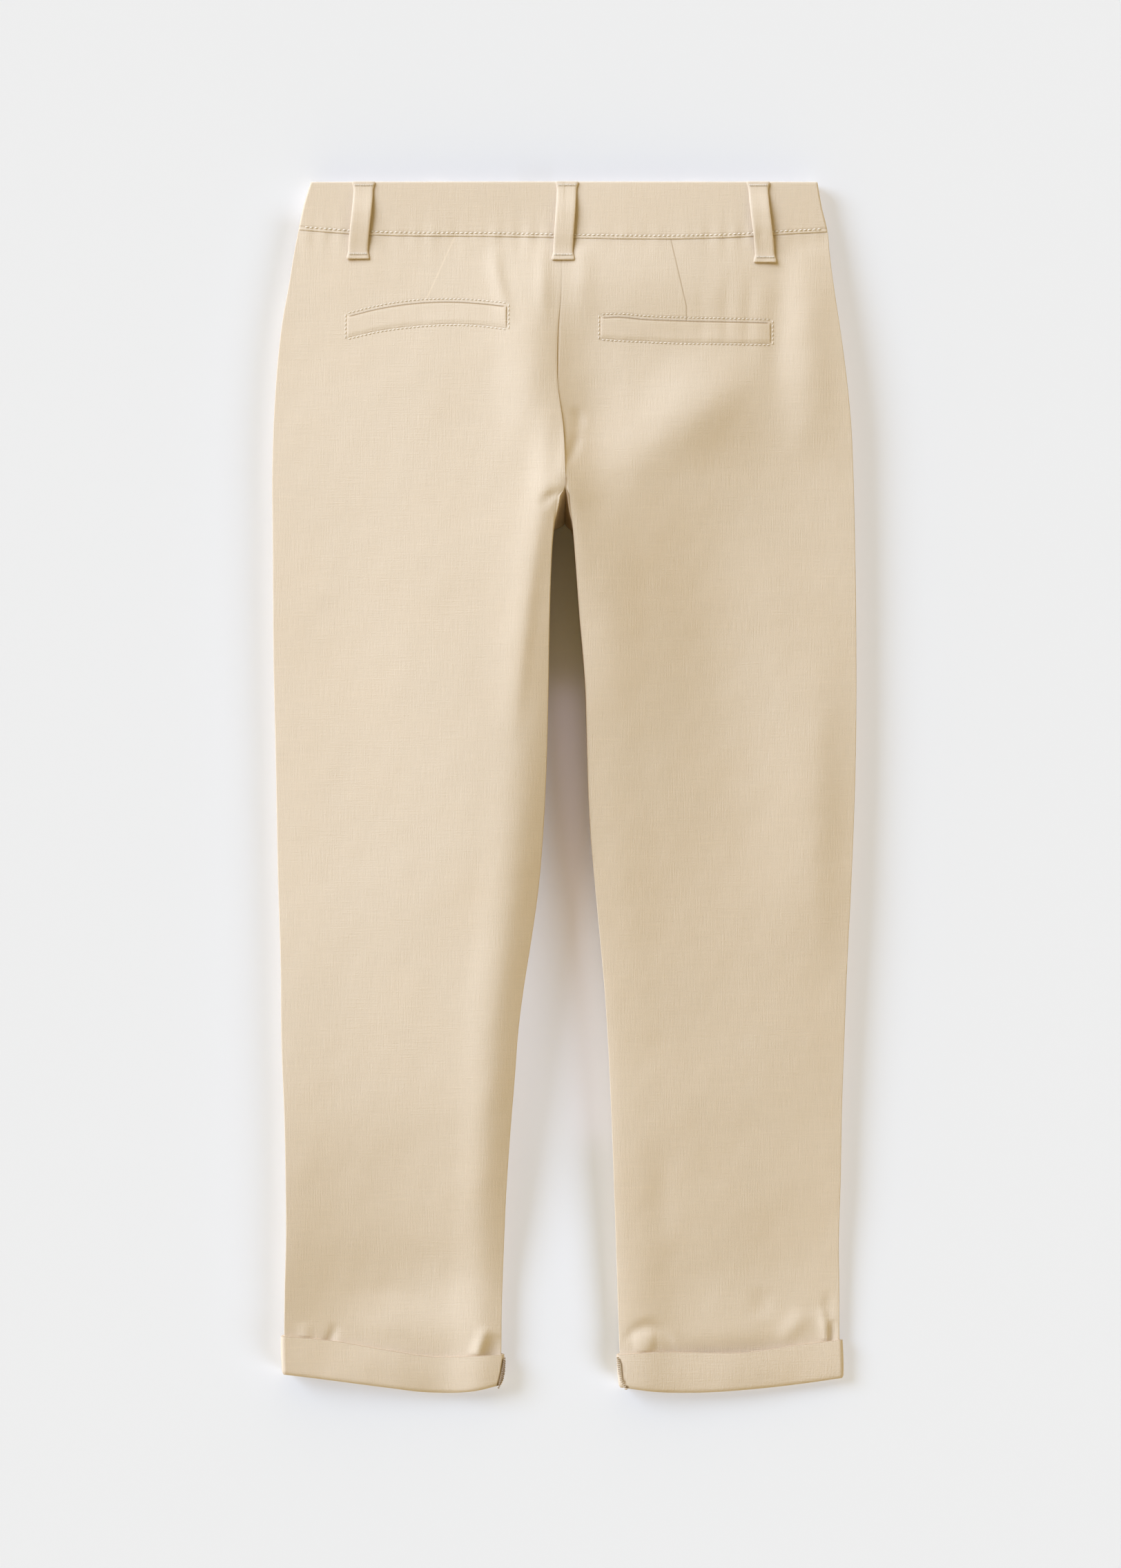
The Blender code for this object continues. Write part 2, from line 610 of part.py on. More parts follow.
def add_welt(name, table):
    """Folded welt of a back pocket, lying on the panel round its closed mouth."""
    columns = np.linspace(table[0].across, table[-1].across, WELT_ACROSS_STEPS + 1)
    x, share = np.meshgrid(columns, np.linspace(0, 1, WELT_DOWN_STEPS + 1))
    down = over(table, "top", x) + share * (over(table, "bottom", x) - over(table, "top", x))
    surface = points(x, down, seat_height(x, down))
    normal = face_normals(surface, upward=True)
    outer = surface + (LYING_CLEAR + WELT_WALL) * normal
    inner = surface + LYING_CLEAR * normal
    return add_wall(name, outer, inner, TWILL_TRIM)


def loop_strip(loop):
    """Grid along a belt loop with its flared ends: places across, stations down and how free it stands."""
    share, half = np.meshgrid(np.linspace(0, 1, LOOP_STEPS + 1), np.array([-0.5, 0.0, 0.5]), indexing="ij")
    down = share * loop.end_down
    to_end = np.minimum(down, loop.end_down - down)
    flare = LOOP_FLARE * (1 - ease(to_end / LOOP_FLARE_REACH))
    middle = loop.top_across + (loop.end_across - loop.top_across) * ease(share)
    free = ease((to_end - LOOP_TACK) / LOOP_RISE)
    return middle + half * (LOOP_WIDTH + flare), down, free


def add_back_loop(loop):
    """Belt loop on the back, tacked at the waist edge and below the waistband, free between."""
    x, down, free = loop_strip(loop)
    clear = LYING_CLEAR + LOOP_STAND * free
    middle_row = np.repeat(x[:, 1:2], 3, axis=1)
    bed = np.maximum(seat_height(x, down), seat_height(middle_row, down))
    inner = points(x, down, bed + clear)
    outer = inner + LOOP_WALL * face_normals(inner, upward=True)
    outer[0, :, 1] = inner[0, :, 1]
    outer[-1, :, 1] = inner[-1, :, 1]
    return add_wall(loop.name, outer, inner, TWILL_TRIM)


def add_front_loop(loop):
    """Belt loop under the front waistband, which lies on it."""
    x, down, free = loop_strip(loop)
    top = BAND_REST - SEAM_GAP - (BAND_REST - SEAM_GAP - LOOP_WALL) * free
    inner = points(x, down, top)
    outer = points(x, down, top - LOOP_WALL)
    return add_wall(loop.name, outer, inner, TWILL_TRIM)


def add_cuff(name, side):
    """Turned-up cuff: an outer wall all round the leg that folds in under the end of the leg's cloth."""
    table = LEFT_CUFF if side < 0 else RIGHT_CUFF
    half_round = columns_of(ACROSS_STEPS)
    across = np.concatenate([half_round, half_round[::-1]])
    upper = np.arange(len(across)) < len(half_round)
    nominal = place(side, across, np.full(across.shape, CUFF_MIDDLE))
    rings = []
    for point in CUFF_SECTION:
        if point.above_end is None:
            down = over(table, "top", nominal) + point.below_top
        else:
            down = over(table, "bottom", nominal) - point.above_end
        height = np.where(upper, upper_height(side, across, down), underside(side, across, down))
        ring = np.stack([place(side, across, down), height], axis=-1)
        run = np.roll(ring, -1, axis=0) - np.roll(ring, 1, axis=0)
        outward = np.stack([-run[:, 1], run[:, 0]], axis=-1) * -side
        outward = outward / np.linalg.norm(outward, axis=-1, keepdims=True)
        ring = ring + point.out * outward
        rings.append(np.stack([ring[:, 0], TOTAL_LENGTH / 2 - down, ring[:, 1]], axis=-1))
    rings = np.array(rings)
    rows, columns = rings.shape[:2]
    index = np.arange(rows * columns).reshape(rows, columns)
    below = np.roll(index, -1, axis=0)
    faces = np.stack([index, below, np.roll(below, -1, axis=1), np.roll(index, -1, axis=1)], axis=-1)
    return add_object(name, rings.reshape(-1, 3), faces.reshape(-1, 4), TWILL_TRIM, 0.85)


def add_button_hole(button, number, along_x, along_y):
    """One sewing hole through the button."""
    name = "button_hole_%d" % number
    body = bmesh.new()
    bmesh.ops.create_cone(body, cap_ends=True, segments=10, radius1=BUTTON_HOLE_RADIUS * MM,
                          radius2=BUTTON_HOLE_RADIUS * MM, depth=4 * BUTTON_THICK * MM)
    mesh = bpy.data.meshes.new(name)
    body.to_mesh(mesh)
    body.free()
    cutter = bpy.data.objects.new(name, mesh)
    bpy.context.scene.collection.objects.link(cutter)
    cutter.location = button.location
    cutter.location.x += along_x * BUTTON_HOLE_SPREAD * MM
    cutter.location.y += along_y * BUTTON_HOLE_SPREAD * MM
    cutter.hide_render = True
    cutter.display_type = "WIRE"
    subtract = button.modifiers.new(name, "BOOLEAN")
    subtract.operation = "DIFFERENCE"
    subtract.solver = "EXACT"
    subtract.object = cutter


def add_button():
    """Four-hole fly button, dished on its outer face, under the buttoned end of the front waistband."""
    profile = [
        (0.0, BUTTON_DISH),
        (BUTTON_RADIUS - BUTTON_RIM - 0.8, BUTTON_DISH),
        (BUTTON_RADIUS - BUTTON_RIM, 0.15),
        (BUTTON_RADIUS - BUTTON_RIM + 0.6, 0.0),
        (BUTTON_RADIUS - 0.5, 0.25),
        (BUTTON_RADIUS, 0.9),
        (BUTTON_RADIUS - 0.3, BUTTON_THICK - 0.4),
        (BUTTON_RADIUS - 0.9, BUTTON_THICK),
        (0.0, BUTTON_THICK),
    ]
    angle = np.arange(BUTTON_SIDES) * 2 * math.pi / BUTTON_SIDES
    radius, height = np.array(profile[1:-1]).T
    rings = np.stack([radius[:, None] * np.cos(angle), radius[:, None] * np.sin(angle),
                      height[:, None] + 0 * angle], axis=-1).reshape(-1, 3)
    vertices = np.vstack([rings, [(0, 0, profile[0][1]), (0, 0, profile[-1][1])]])
    index = np.arange(len(rings)).reshape(len(radius), BUTTON_SIDES)
    turned = np.roll(index, -1, axis=1)
    sides = np.stack([index[:-1], turned[:-1], turned[1:], index[1:]], axis=-1).reshape(-1, 4).tolist()
    outer_cap = [(len(rings), b, a) for a, b in zip(index[0], turned[0])]
    inner_cap = [(len(rings) + 1, a, b) for a, b in zip(index[-1], turned[-1])]
    button = add_object("fly_button", vertices, sides + outer_cap + inner_cap, BUTTON_COLOUR, 0.4)
    button.location = (0.0, (TOTAL_LENGTH / 2 - BUTTON_DOWN) * MM, 0.0)
    for number, (along_x, along_y) in enumerate(((1, 1), (-1, 1), (-1, -1), (1, -1))):
        add_button_hole(button, number, along_x, along_y)
    return button


def main():
    """Builds the whole garment."""
    for old in list(bpy.data.objects):
        bpy.data.objects.remove(old)
    for side, word in ((-1, "left"), (1, "right")):
        add_back_panel("back_" + word, side)
        add_front_panel("front_" + word, side)
        add_cuff("cuff_" + word, side)
    add_welt("welt_left", LEFT_WELT)
    add_welt("welt_right", RIGHT_WELT)
    add_band_back()
    half_width = SECTIONS[0].out_left
    buttoned_end = math.asin(FRONT_OVERLAP / half_width) * 2 / math.pi
    far_end = math.asin((FRONT_OVERLAP + SEAM_GAP) / half_width) * 2 / math.pi
    add_band_front("waistband_front_left", -1, buttoned_end, BAND_ACROSS_STEPS // 2)
    add_band_front("waistband_front_right", far_end, 1, BAND_ACROSS_STEPS // 2)
    for loop in BACK_LOOPS:
        add_back_loop(loop)
    for loop in FRONT_LOOPS:
        add_front_loop(loop)
    add_button()


main()
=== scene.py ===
import math

import bpy
import numpy as np
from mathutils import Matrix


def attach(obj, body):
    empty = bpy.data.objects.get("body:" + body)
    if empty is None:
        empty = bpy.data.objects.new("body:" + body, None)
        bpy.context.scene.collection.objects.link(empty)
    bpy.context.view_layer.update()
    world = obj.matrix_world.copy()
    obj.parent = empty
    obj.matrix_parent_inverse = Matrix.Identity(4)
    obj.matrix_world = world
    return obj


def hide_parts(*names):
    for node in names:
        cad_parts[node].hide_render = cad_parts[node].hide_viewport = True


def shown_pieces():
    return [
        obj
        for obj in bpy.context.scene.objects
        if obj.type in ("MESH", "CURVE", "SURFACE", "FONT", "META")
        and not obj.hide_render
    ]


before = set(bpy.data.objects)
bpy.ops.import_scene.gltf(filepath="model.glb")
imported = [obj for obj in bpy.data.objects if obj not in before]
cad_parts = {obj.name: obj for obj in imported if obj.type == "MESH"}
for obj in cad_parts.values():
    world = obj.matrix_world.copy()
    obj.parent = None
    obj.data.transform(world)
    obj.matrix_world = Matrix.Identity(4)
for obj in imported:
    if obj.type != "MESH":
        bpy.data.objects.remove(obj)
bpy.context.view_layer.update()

mm = 0.001                    # the tables below are in millimetres, "down" from the waist edge
totalLength = 876.6           # waist edge to the lowest point of the cuffs
crotch = 246.5                # where the four panels meet

# half widths of the garment, at the left (-1) and at the right (1)
sections = {
    "down": [0, 17, 37, 50, 75, 100, 125, 150, 175, 212, 262,
             350, 412, 512, 562, 625, 675, 725, 765, 800, 835, 876],
    -1: [183.8, 188.8, 192.9, 195.3, 199.3, 203.8, 206.8, 208.8, 210.2, 211.2, 210.8,
         210.2, 208.8, 206.8, 205.2, 204.5, 202.5, 201.5, 201.3, 202.2, 202.6, 201.4],
    1: [183.3, 186.2, 190.7, 191.8, 194.8, 198.5, 202.0, 205.0, 207.3, 209.0, 210.2,
        211.2, 210.8, 207.3, 204.8, 202.4, 200.8, 200.0, 198.8, 199.2, 199.4, 200.6],
}
# where the legs' inner folds show, and how far the inseams beneath them lean out from under them
inseam = {
    -1: {"down": [229, 238, 250, 262, 290, 318, 372, 435, 472, 510,
                  548, 585, 610, 648, 685, 735, 772, 818, 850, 876],
         "fold": [-4.8, -5.8, -7.3, -8.4, -9.8, -10.6, -11.5, -13.3, -15.3, -18.5,
                  -23.8, -29.6, -32.8, -35.8, -38.8, -42.2, -43.8, -45.4, -45.8, -47.6],
         "lean": [0] * 2 + [-2] * 16 + [-1.5] * 2},
    1: {"down": [229, 238, 250, 262, 290, 318, 342, 367, 392, 417, 442, 472,
                 510, 548, 585, 610, 648, 685, 735, 772, 818, 850, 876],
        "fold": [3.6, 4.4, 6.0, 7.0, 9.1, 11.2, 13.4, 15.2, 16.0, 16.6, 17.4, 19.0,
                 22.2, 25.8, 29.1, 30.8, 32.8, 34.4, 36.2, 37.5, 39.0, 40.2, 42.0],
        "lean": [0.2] * 2 + [0.3] * 6 + [0.2, 0.1, 0, 0, -0.5, -1, -1.5] + [-2] * 6 + [-1.5] * 2},
}
centreBack = {"down": [30, 58, 80, 105, 147, 177, 215, 250],
              "seam": [-1.6, -1.8, -2.3, -4.4, -4.7, -0.9, 0.8, 0.4]}

# height of the cloth on top, from the fold beside the side seam to the one beside the centre or the inseam
loftPlaces = np.array([0, 0.25, 0.5, 0.75, 0.9, 1])
loftDown = [0, 37, 75, 125, 175, 212, 262, 317, 390, 467, 540, 617, 670, 717, 760, 792, 835, 876]
loft = {
    -1: {
        "rim": [15.5, 17, 19, 20.5, 21.5, 22, 22, 22, 21.5,
                21.5, 22, 22, 22.5, 23, 23, 22.5, 20.5, 19],
        "quarter": [17.5, 20, 23.5, 26.5, 29, 29.5, 29.5, 29, 28.5,
                    28, 27.5, 25, 23, 19.8, 17.5, 15.6, 15.5, 16.8],
        "middle": [18.5, 21.5, 26.5, 32, 35.5, 37.2, 38, 38, 37,
                   35.5, 33.5, 30, 26, 20, 15.3, 12.0, 13.2, 13.0],
        "three": [19, 22.5, 29, 36, 40.5, 43.5, 45.5, 45.5, 44.5,
                  42.5, 39, 35.5, 31, 24.5, 17.5, 12.8, 12.7, 9.6],
        "crest": [19, 23, 31, 39.5, 45.5, 47.5, 50, 50, 47.5,
                  45, 42.5, 39.5, 35, 28.5, 20.5, 16, 15.5, 13],
        "edge": [19, 23.5, 30, 35.5, 43.8, 52, 52, 50.5, 47,
                 43, 40, 37.5, 33.5, 27.5, 20, 15.5, 15, 13],
    },
    1: {
        "rim": [15.5, 17.5, 20.5, 22.5, 22.5, 22, 21.5, 21, 20.5,
                20.5, 20, 18.5, 17.0, 15.3, 13.2, 11.0, 9.4, 7.6],
        "quarter": [17.5, 20.5, 23.5, 25, 25.5, 24, 23.5, 24, 24,
                    24, 24, 23, 21.2, 18.4, 15, 12.4, 10.2, 7.9],
        "middle": [18.5, 22.5, 27, 28.5, 30.5, 29.5, 28, 28.3, 29.3,
                   29.5, 28.5, 27, 25, 22, 18.2, 14.8, 12.8, 11.0],
        "three": [19, 23.5, 30, 30.4, 32, 36.5, 39.2, 39.8, 38.6,
                  36.6, 33.8, 31, 28.5, 25, 20.8, 17.4, 15.0, 13.0],
        "crest": [19, 23.8, 30.2, 31.5, 35.7, 43, 47.1, 46.7, 43.9,
                  41, 37.4, 33, 30, 26.5, 23, 20.5, 18.2, 16.0],
        "edge": [19, 23.5, 30, 35.5, 43.8, 52, 51.8, 48.3, 46.2,
                 42.8, 38.3, 33.5, 30, 26.5, 23, 20.5, 18.2, 16.4],
    },
}
# how round each fold is, and how far the cloth falls towards the inner one from how far away
folds = {
    -1: {"down": [0, 195, 212, 232, 262, 317, 392, 467, 567, 667, 767, 876],
         "outer": [0.5] * 12,
         "inner": [1.5, 1.5, 1.5, 1.2, 0.7] + [0.5] * 7,
         "depth": [0, 0, 0, 2.6, 2.6, 2.4, 3.6, 4.9, 4.6, 3.7, 2, 1.2],
         "reach": [14, 14, 14, 13, 14, 18, 26, 32, 34, 30, 24, 14]},
    1: {"down": [0, 195, 212, 232, 262, 317, 392, 442, 492, 542, 592, 876],
        "outer": [0.5] * 12,
        "inner": [1.5, 1.5, 1.2, 0.5] + [0.35] * 7 + [0.4],
        "depth": [0, 0, 0, 0.8, 0.8, 0.4, 0, 0, 0, 0.2, 0.5, 0.5],
        "reach": [8, 8, 8, 7, 8, 14, 14, 12, 10, 8, 8, 8]},
}
tuck = 2.0                    # how far the side seams lie in under their folds
wallShare = 0.5               # share of a folded edge's rows that its upright part takes
diveStart = 222.0             # where the centre seam begins to dive to the crotch
# the underside: height over the surface, and how far its margins turn up
underneath = {"down": [0, 62, 96, 806, 836, 876], "rest": [2.4, 2.4, 0, 0, 2.3, 2.3]}
turnUp = {"lift": 0.4, "width": 15.0, "power": 2.2}
uneven = {"broad": 0.10, "fine": 0.035, "pucker": 0.22}
drawnIn = {"weltRow": 0.1, "centreSeam": 0.05}    # how deep stitches and seams draw the cloth in
restsFlat = {"from": 96.0, "to": 806.0}     # between these stations the underside lies on the floor
parting = {"from": 222.0, "over": 7.0}        # where the inner folds part from the centre seam
settles = {"from": 40.0, "over": 14.0}        # where the creases begin under the waistband

waistSeam = {"x": [-193, -150, -59, 136, 152, 191], "line": [34.4, 37.8, 39.5, 39.5, 38.4, 36.0]}
cuffLines = {
    -1: {"x": [-205, -170, -129, -96, -63, -45], "top": [834.5, 838, 845.2, 850.2, 849.5, 848.5],
         "bottom": [862.5, 867, 872.6, 876.5, 875.2, 871]},
    1: {"x": [41, 66, 91, 131, 166, 202], "top": [848.5, 846.6, 847, 847.2, 842.5, 838],
        "bottom": [872.5, 875.8, 876.5, 874.5, 871, 866]},
}

welts = {
    "welt_left": {"x": [-156.5, -134, -109, -84, -59, -42], "top": [97.6, 92.1, 88.4, 87.4, 88.8, 90.8],
                  "bottom": [112.6, 107.6, 104.4, 102.9, 104.0, 106.4]},
    "welt_right": {"x": [26.6, 39, 56, 88, 121, 148.7], "top": [98.9, 98.3, 99.8, 101.0, 101.6, 102.2],
                   "bottom": [113.4, 114.2, 115.1, 116.2, 116.6, 116.9]},
}

# how far the stitches run outside a welt
weltMargin = {"above": 2.4, "below": 1.4, "left": 1.6, "right": 1.8}

# how thick each cloth is, and how far one lies from the next
wall = {"panel": 1.1, "band": 2.4, "bandProud": 0.5, "welt": 0.55, "loop": 1.3, "cuff": 2.0,
        "seamGap": 0.14, "centreGap": 0.05, "lying": 0.4, "loopStand": 2.4, "cuffClear": 0.3}

# creases of the back: side (0 is both), from x, down, to x, down, bow, width left and right, height, and how
# softly it ends
creases = {
    "crotchToSide": (1, 14, 228, 158, 120, -3, 30, 25, 5.0, 1.7),
    "rightThigh": (1, 181, 320, 177, 590, 0, 36, 20, 4.0, 1.3),
    "besideSideSeam": (1, 178, 22, 176, 215, 0, 14, 17, 2.4, 1.2),
    "sideHollow": (1, 158, 30, 152, 170, 0, 9, 9, -1.2, 1.2),
    "rightOfCentre": (0, 6, 62, 6, 190, 0, 10, 34, -1.2, 1.2),
    "ridgeByCentre": (1, 14, 12, 13, 104, 0, 6, 8, 0.9, 1.2),
    "besideLeftWelt": (-1, -51, 42, -37, 105, -3, 6, 4.5, 1.7, 1.2),
    "underLoop": (-1, -16, 38, -15, 108, 0, 5, 5, 1.1, 1.2),
    "rippleNear": (1, 98, 70, 99, 128, 1, 4, 4, -0.35, 1.2),
    "rippleMiddle": (1, 119, 62, 117, 122, -1, 4, 4, -0.5, 1.2),
    "rippleFar": (1, 134, 60, 131, 126, 1, 4, 5, -0.6, 1.2),
    "crotchUpper": (1, 7, 163, 10, 182, 2, 3.5, 3.5, -1.3, 1.2),
    "crotchLower": (1, 10, 176, 1, 206, 2, 3.5, 3.5, -1.6, 1.2),
    "crotchLeft": (-1, -9, 160, -14, 245, -3, 9, 9, 1.8, 1.2),
    "crotchArch": (-1, -17, 238, -1, 222.5, -2, 4, 3, -1.2, 0.7),
    "leftCrest": (-1, -15, 212, -38, 410, -1, 12, 6.5, 1.8, 0.9),
    "leftCuffHollow": (-1, -168, 808, -76, 826, 14, 8, 8, -0.4, 1.2),
    "leftCuffSwell": (-1, -164, 826, -80, 838, 4, 10, 10, 0.4, 1.2),
    "leftCuffBump": (-1, -188, 825, -186, 850, 0, 5, 4, 0.9, 0.9),
    "leftCuffNotch": (-1, -177, 848, -165, 826, 1.5, 3.2, 3.2, -1.2, 0.7),
    "leftCuffRidge": (-1, -56, 828, -66, 862, -1, 4.5, 3.5, 1.9, 0.8),
    "leftCuffFall": (-1, -50, 834, -55, 864, 0, 5, 7, -2.0, 0.8),
    "rightCuffBump": (1, 50, 840, 66, 838, 3, 8, 8, 1.5, 0.7),
    "rightCuffArc": (1, 42, 838, 80, 842, 12, 5, 5, -1.3, 0.8),
    "rightCuffShade": (1, 62, 852, 172, 846, 1, 10, 10, -2.3, 0.8),
    "rightCuffSlope": (1, 176, 816, 156, 842, 0, 7, 7, 1.2, 1.0),
    "rightCuffFold": (1, 187, 814, 191.5, 844, 0, 4, 2.4, 1.5, 0.9),
    "rightCuffNotch": (1, 194.5, 824, 193, 850, 0, 2, 2.2, -1.4, 0.6),
    "rightCuffHollow": (1, 192, 800, 190, 828, 0, 4, 4, -0.7, 1.2),
    "rightCuffPatch": (1, 146, 800, 142, 824, 0, 8, 8, -0.8, 1.2),
    "rightHollow": (1, 72, 690, 70, 770, 0, 12, 10, -0.8, 1.4),
}


# a smooth cubic curve through a table's values, read at any place
def smooth(at, stations, values):
    stations = np.asarray(stations, float)
    values = np.asarray(values, float)
    slopes = np.gradient(values, stations)
    at = np.clip(at, stations[0], stations[-1])
    cell = np.clip(np.searchsorted(stations, at, side="right") - 1, 0, len(stations) - 2)
    width = stations[cell + 1] - stations[cell]
    t = (at - stations[cell]) / width
    return cubic(t, width, values[cell], values[cell + 1], slopes[cell], slopes[cell + 1])


# the cubic from one value to the next that keeps both slopes
def cubic(t, width, low, high, lowSlope, highSlope):
    start = (1 + 2 * t) * (1 - t) ** 2 * low + t * (1 - t) ** 2 * width * lowSlope
    end = t * t * (3 - 2 * t) * high - t * t * (1 - t) * width * highSlope
    return start + end


# a value of a table whose stations run down, and of one whose stations run across
def along(table, key, down):
    return smooth(down, table["down"], table[key])


def across(table, key, x):
    return smooth(x, table["x"], table[key])


# 0 to 1 with level ends: 3t^2 - 2t^3
def ease(t):
    t = np.clip(t, 0.0, 1.0)
    return t * t * (3 - 2 * t)


# a bell: e to the minus square of distance over width
def bell(distance, width):
    return np.exp(-(distance / width) ** 2)


# how far out an upright wall has come at a share of its height: 1 - (1 - share)^2, upright at its top
def belly(share):
    return 1 - (1 - share) ** 2


# a half's edge at the centre seam
def centreEdge(side, down):
    return along(centreBack, "seam", down) + side * wall["centreGap"] / 2


# where a half's cloth turns over: the side fold, and the centre seam that parts into the inner fold
def foldLines(side, down):
    outer = side * along(sections, side, down)
    centre = centreEdge(side, down)
    leg = along(inseam[side], "fold", down)
    return outer, centre + (leg - centre) * ease((down - parting["from"]) / parting["over"])


# the seams of a half: tucked in under the folds, or standing out beyond them where the lean is positive
def edges(side, down):
    outer, leg = foldLines(side, down)
    centre = centreEdge(side, down)
    leg = leg - side * along(inseam[side], "lean", down)
    return outer - side * tuck, centre + (leg - centre) * ease((down - crotch) / parting["over"])


# where the loft's last column lies: the seam on the seat and the inner fold below it
loftEdge = {side: {"down": [0, 100, 200] + table["down"], "edge": [-1.5, -2.5, -2.0] + table["fold"]}
            for side, table in inseam.items()}


# a surface through the loft table: cubic across through six heights, each cubic along the length
def loftHeight(side, x, down):
    outer = side * along(sections, side, down)
    inner = along(loftEdge[side], "edge", down)
    share = np.clip(np.abs(x - outer) / np.abs(inner - outer), 0.0, 1.0)
    heights = np.array([smooth(down, loftDown, heightsDown) for heightsDown in loft[side].values()])
    slopes = np.gradient(heights, loftPlaces, axis=0)
    cell = np.clip(np.searchsorted(loftPlaces, share, side="right") - 1, 0, len(loftPlaces) - 2)
    width = loftPlaces[cell + 1] - loftPlaces[cell]
    t = (share - loftPlaces[cell]) / width
    low, high = (np.take_along_axis(heights, (cell + step)[None], axis=0)[0] for step in (0, 1))
    lowSlope, highSlope = (np.take_along_axis(slopes, (cell + step)[None], axis=0)[0] for step in (0, 1))
    return cubic(t, width, low, high, lowSlope, highSlope)


# each crease is a bell across its bowed line, times a sine to a power along it
def creaseHeight(side, x, down):
    total = np.zeros(np.broadcast(x, down).shape)
    for onSide, x1, down1, x2, down2, bow, widthLeft, widthRight, height, softness in creases.values():
        if onSide == -side:
            continue
        runX = x2 - x1
        runDown = down2 - down1
        length = math.hypot(runX, runDown)
        t = ((x - x1) * runX + (down - down1) * runDown) / length ** 2
        off = ((x - x1) * runDown - (down - down1) * runX) / length
        off = off * (1 if runDown >= 0 else -1) - bow * 4 * t * (1 - t)
        width = np.where(off < 0, widthLeft, widthRight)
        total = total + height * bell(off, width) * np.sin(math.pi * np.clip(t, 0, 1)) ** softness
    return total


# gentle unevenness: a sum of plane waves of random direction near one length, of about unit size
def unevenness(x, y, seed, length, count=12):
    random = np.random.default_rng(seed)
    angle = random.uniform(0, math.tau, count)
    size = length * random.uniform(0.7, 1.6, count)
    phase = random.uniform(0, math.tau, count)
    waves = [np.sin(math.tau * (x * math.cos(a) + y * math.sin(a)) / s + p)
             for a, s, p in zip(angle, size, phase)]
    return sum(waves) / math.sqrt(count / 2)


# puckers along a seam: waves across that fade with the distance from it
def puckers(x, distance, seed, length, fade):
    return unevenness(x, 0 * x, seed, length, 7) * np.exp(-np.abs(distance) / fade)


# how far a margin turns up: 1 at its seam, falling by a power of the distance from it
def margin(distance):
    return turnUp["lift"] * np.clip(1 - np.abs(distance) / turnUp["width"], 0, 1) ** turnUp["power"]


# height of the lower face of a front panel: level, with margins that turn up towards the seams
def lowerHeight(side, x, down):
    outer, inner = edges(side, down)
    parted = ease((down - crotch + 7.0) / 21.0)
    rest = np.clip(along(underneath, "rest", down), 0, None)
    rest = np.where((down > restsFlat["from"]) & (down < restsFlat["to"]), 0.0, rest)
    return rest + margin(x - outer) + margin(inner - x) * parted


# the rows of stitches above and below a welt
def weltRows(table, x):
    return across(table, "top", x) - weltMargin["above"], across(table, "bottom", x) + weltMargin["below"]


# 1 on those rows, 0 away from them
def weltLines(side, x, down):
    table = welts["welt_left" if side < 0 else "welt_right"]
    within = ease((x - table["x"][0]) / 1.5 + 1) * ease((table["x"][-1] - x) / 1.5 + 1)
    above, below = weltRows(table, x)
    return within * (bell(down - above, 0.7) + bell(down - below, 0.7))


# height of the top of a back panel: the loft, its creases, its unevenness and its fall towards the inner
# fold. Under the cuff only the hollows run on, and the cuff's own face has none.
def upperHeight(side, x, down, creased=True):
    fold = foldLines(side, down)[1]
    seam = edges(side, down)[1]
    table = folds[side]
    near = np.clip(1 - np.abs(fold - x) / along(table, "reach", down), 0, 1) ** 2
    begun = ease((down - settles["from"]) / settles["over"])
    covered = ease((down - across(cuffLines[side], "top", x)) / 0.6 + 1)
    raised = creaseHeight(side, x, down) * begun
    height = loftHeight(side, x, down) + raised * np.where(raised < 0, 1 if creased else 0, 1 - covered)
    height = height - near * np.clip(along(table, "depth", down), 0, None)
    height = height + uneven["broad"] * unevenness(x, down, 11 + side, 90)
    height = height + uneven["fine"] * unevenness(x, down, 17 + side, 24)
    height = height + uneven["pucker"] * puckers(x, down - 39, 37, 14, 9)
    height = height - drawnIn["weltRow"] * weltLines(side, x, down)
    return height - drawnIn["centreSeam"] * bell(seam - x, 0.9) * (down < diveStart)


# how far up its upright wall a place of a fold lies, and its angle round the quarter circle above
def turnedUp(turn):
    return np.clip(turn / wallShare, 0, 1), np.clip((turn - wallShare) / (1 - wallShare), 0, 1) * math.pi / 2


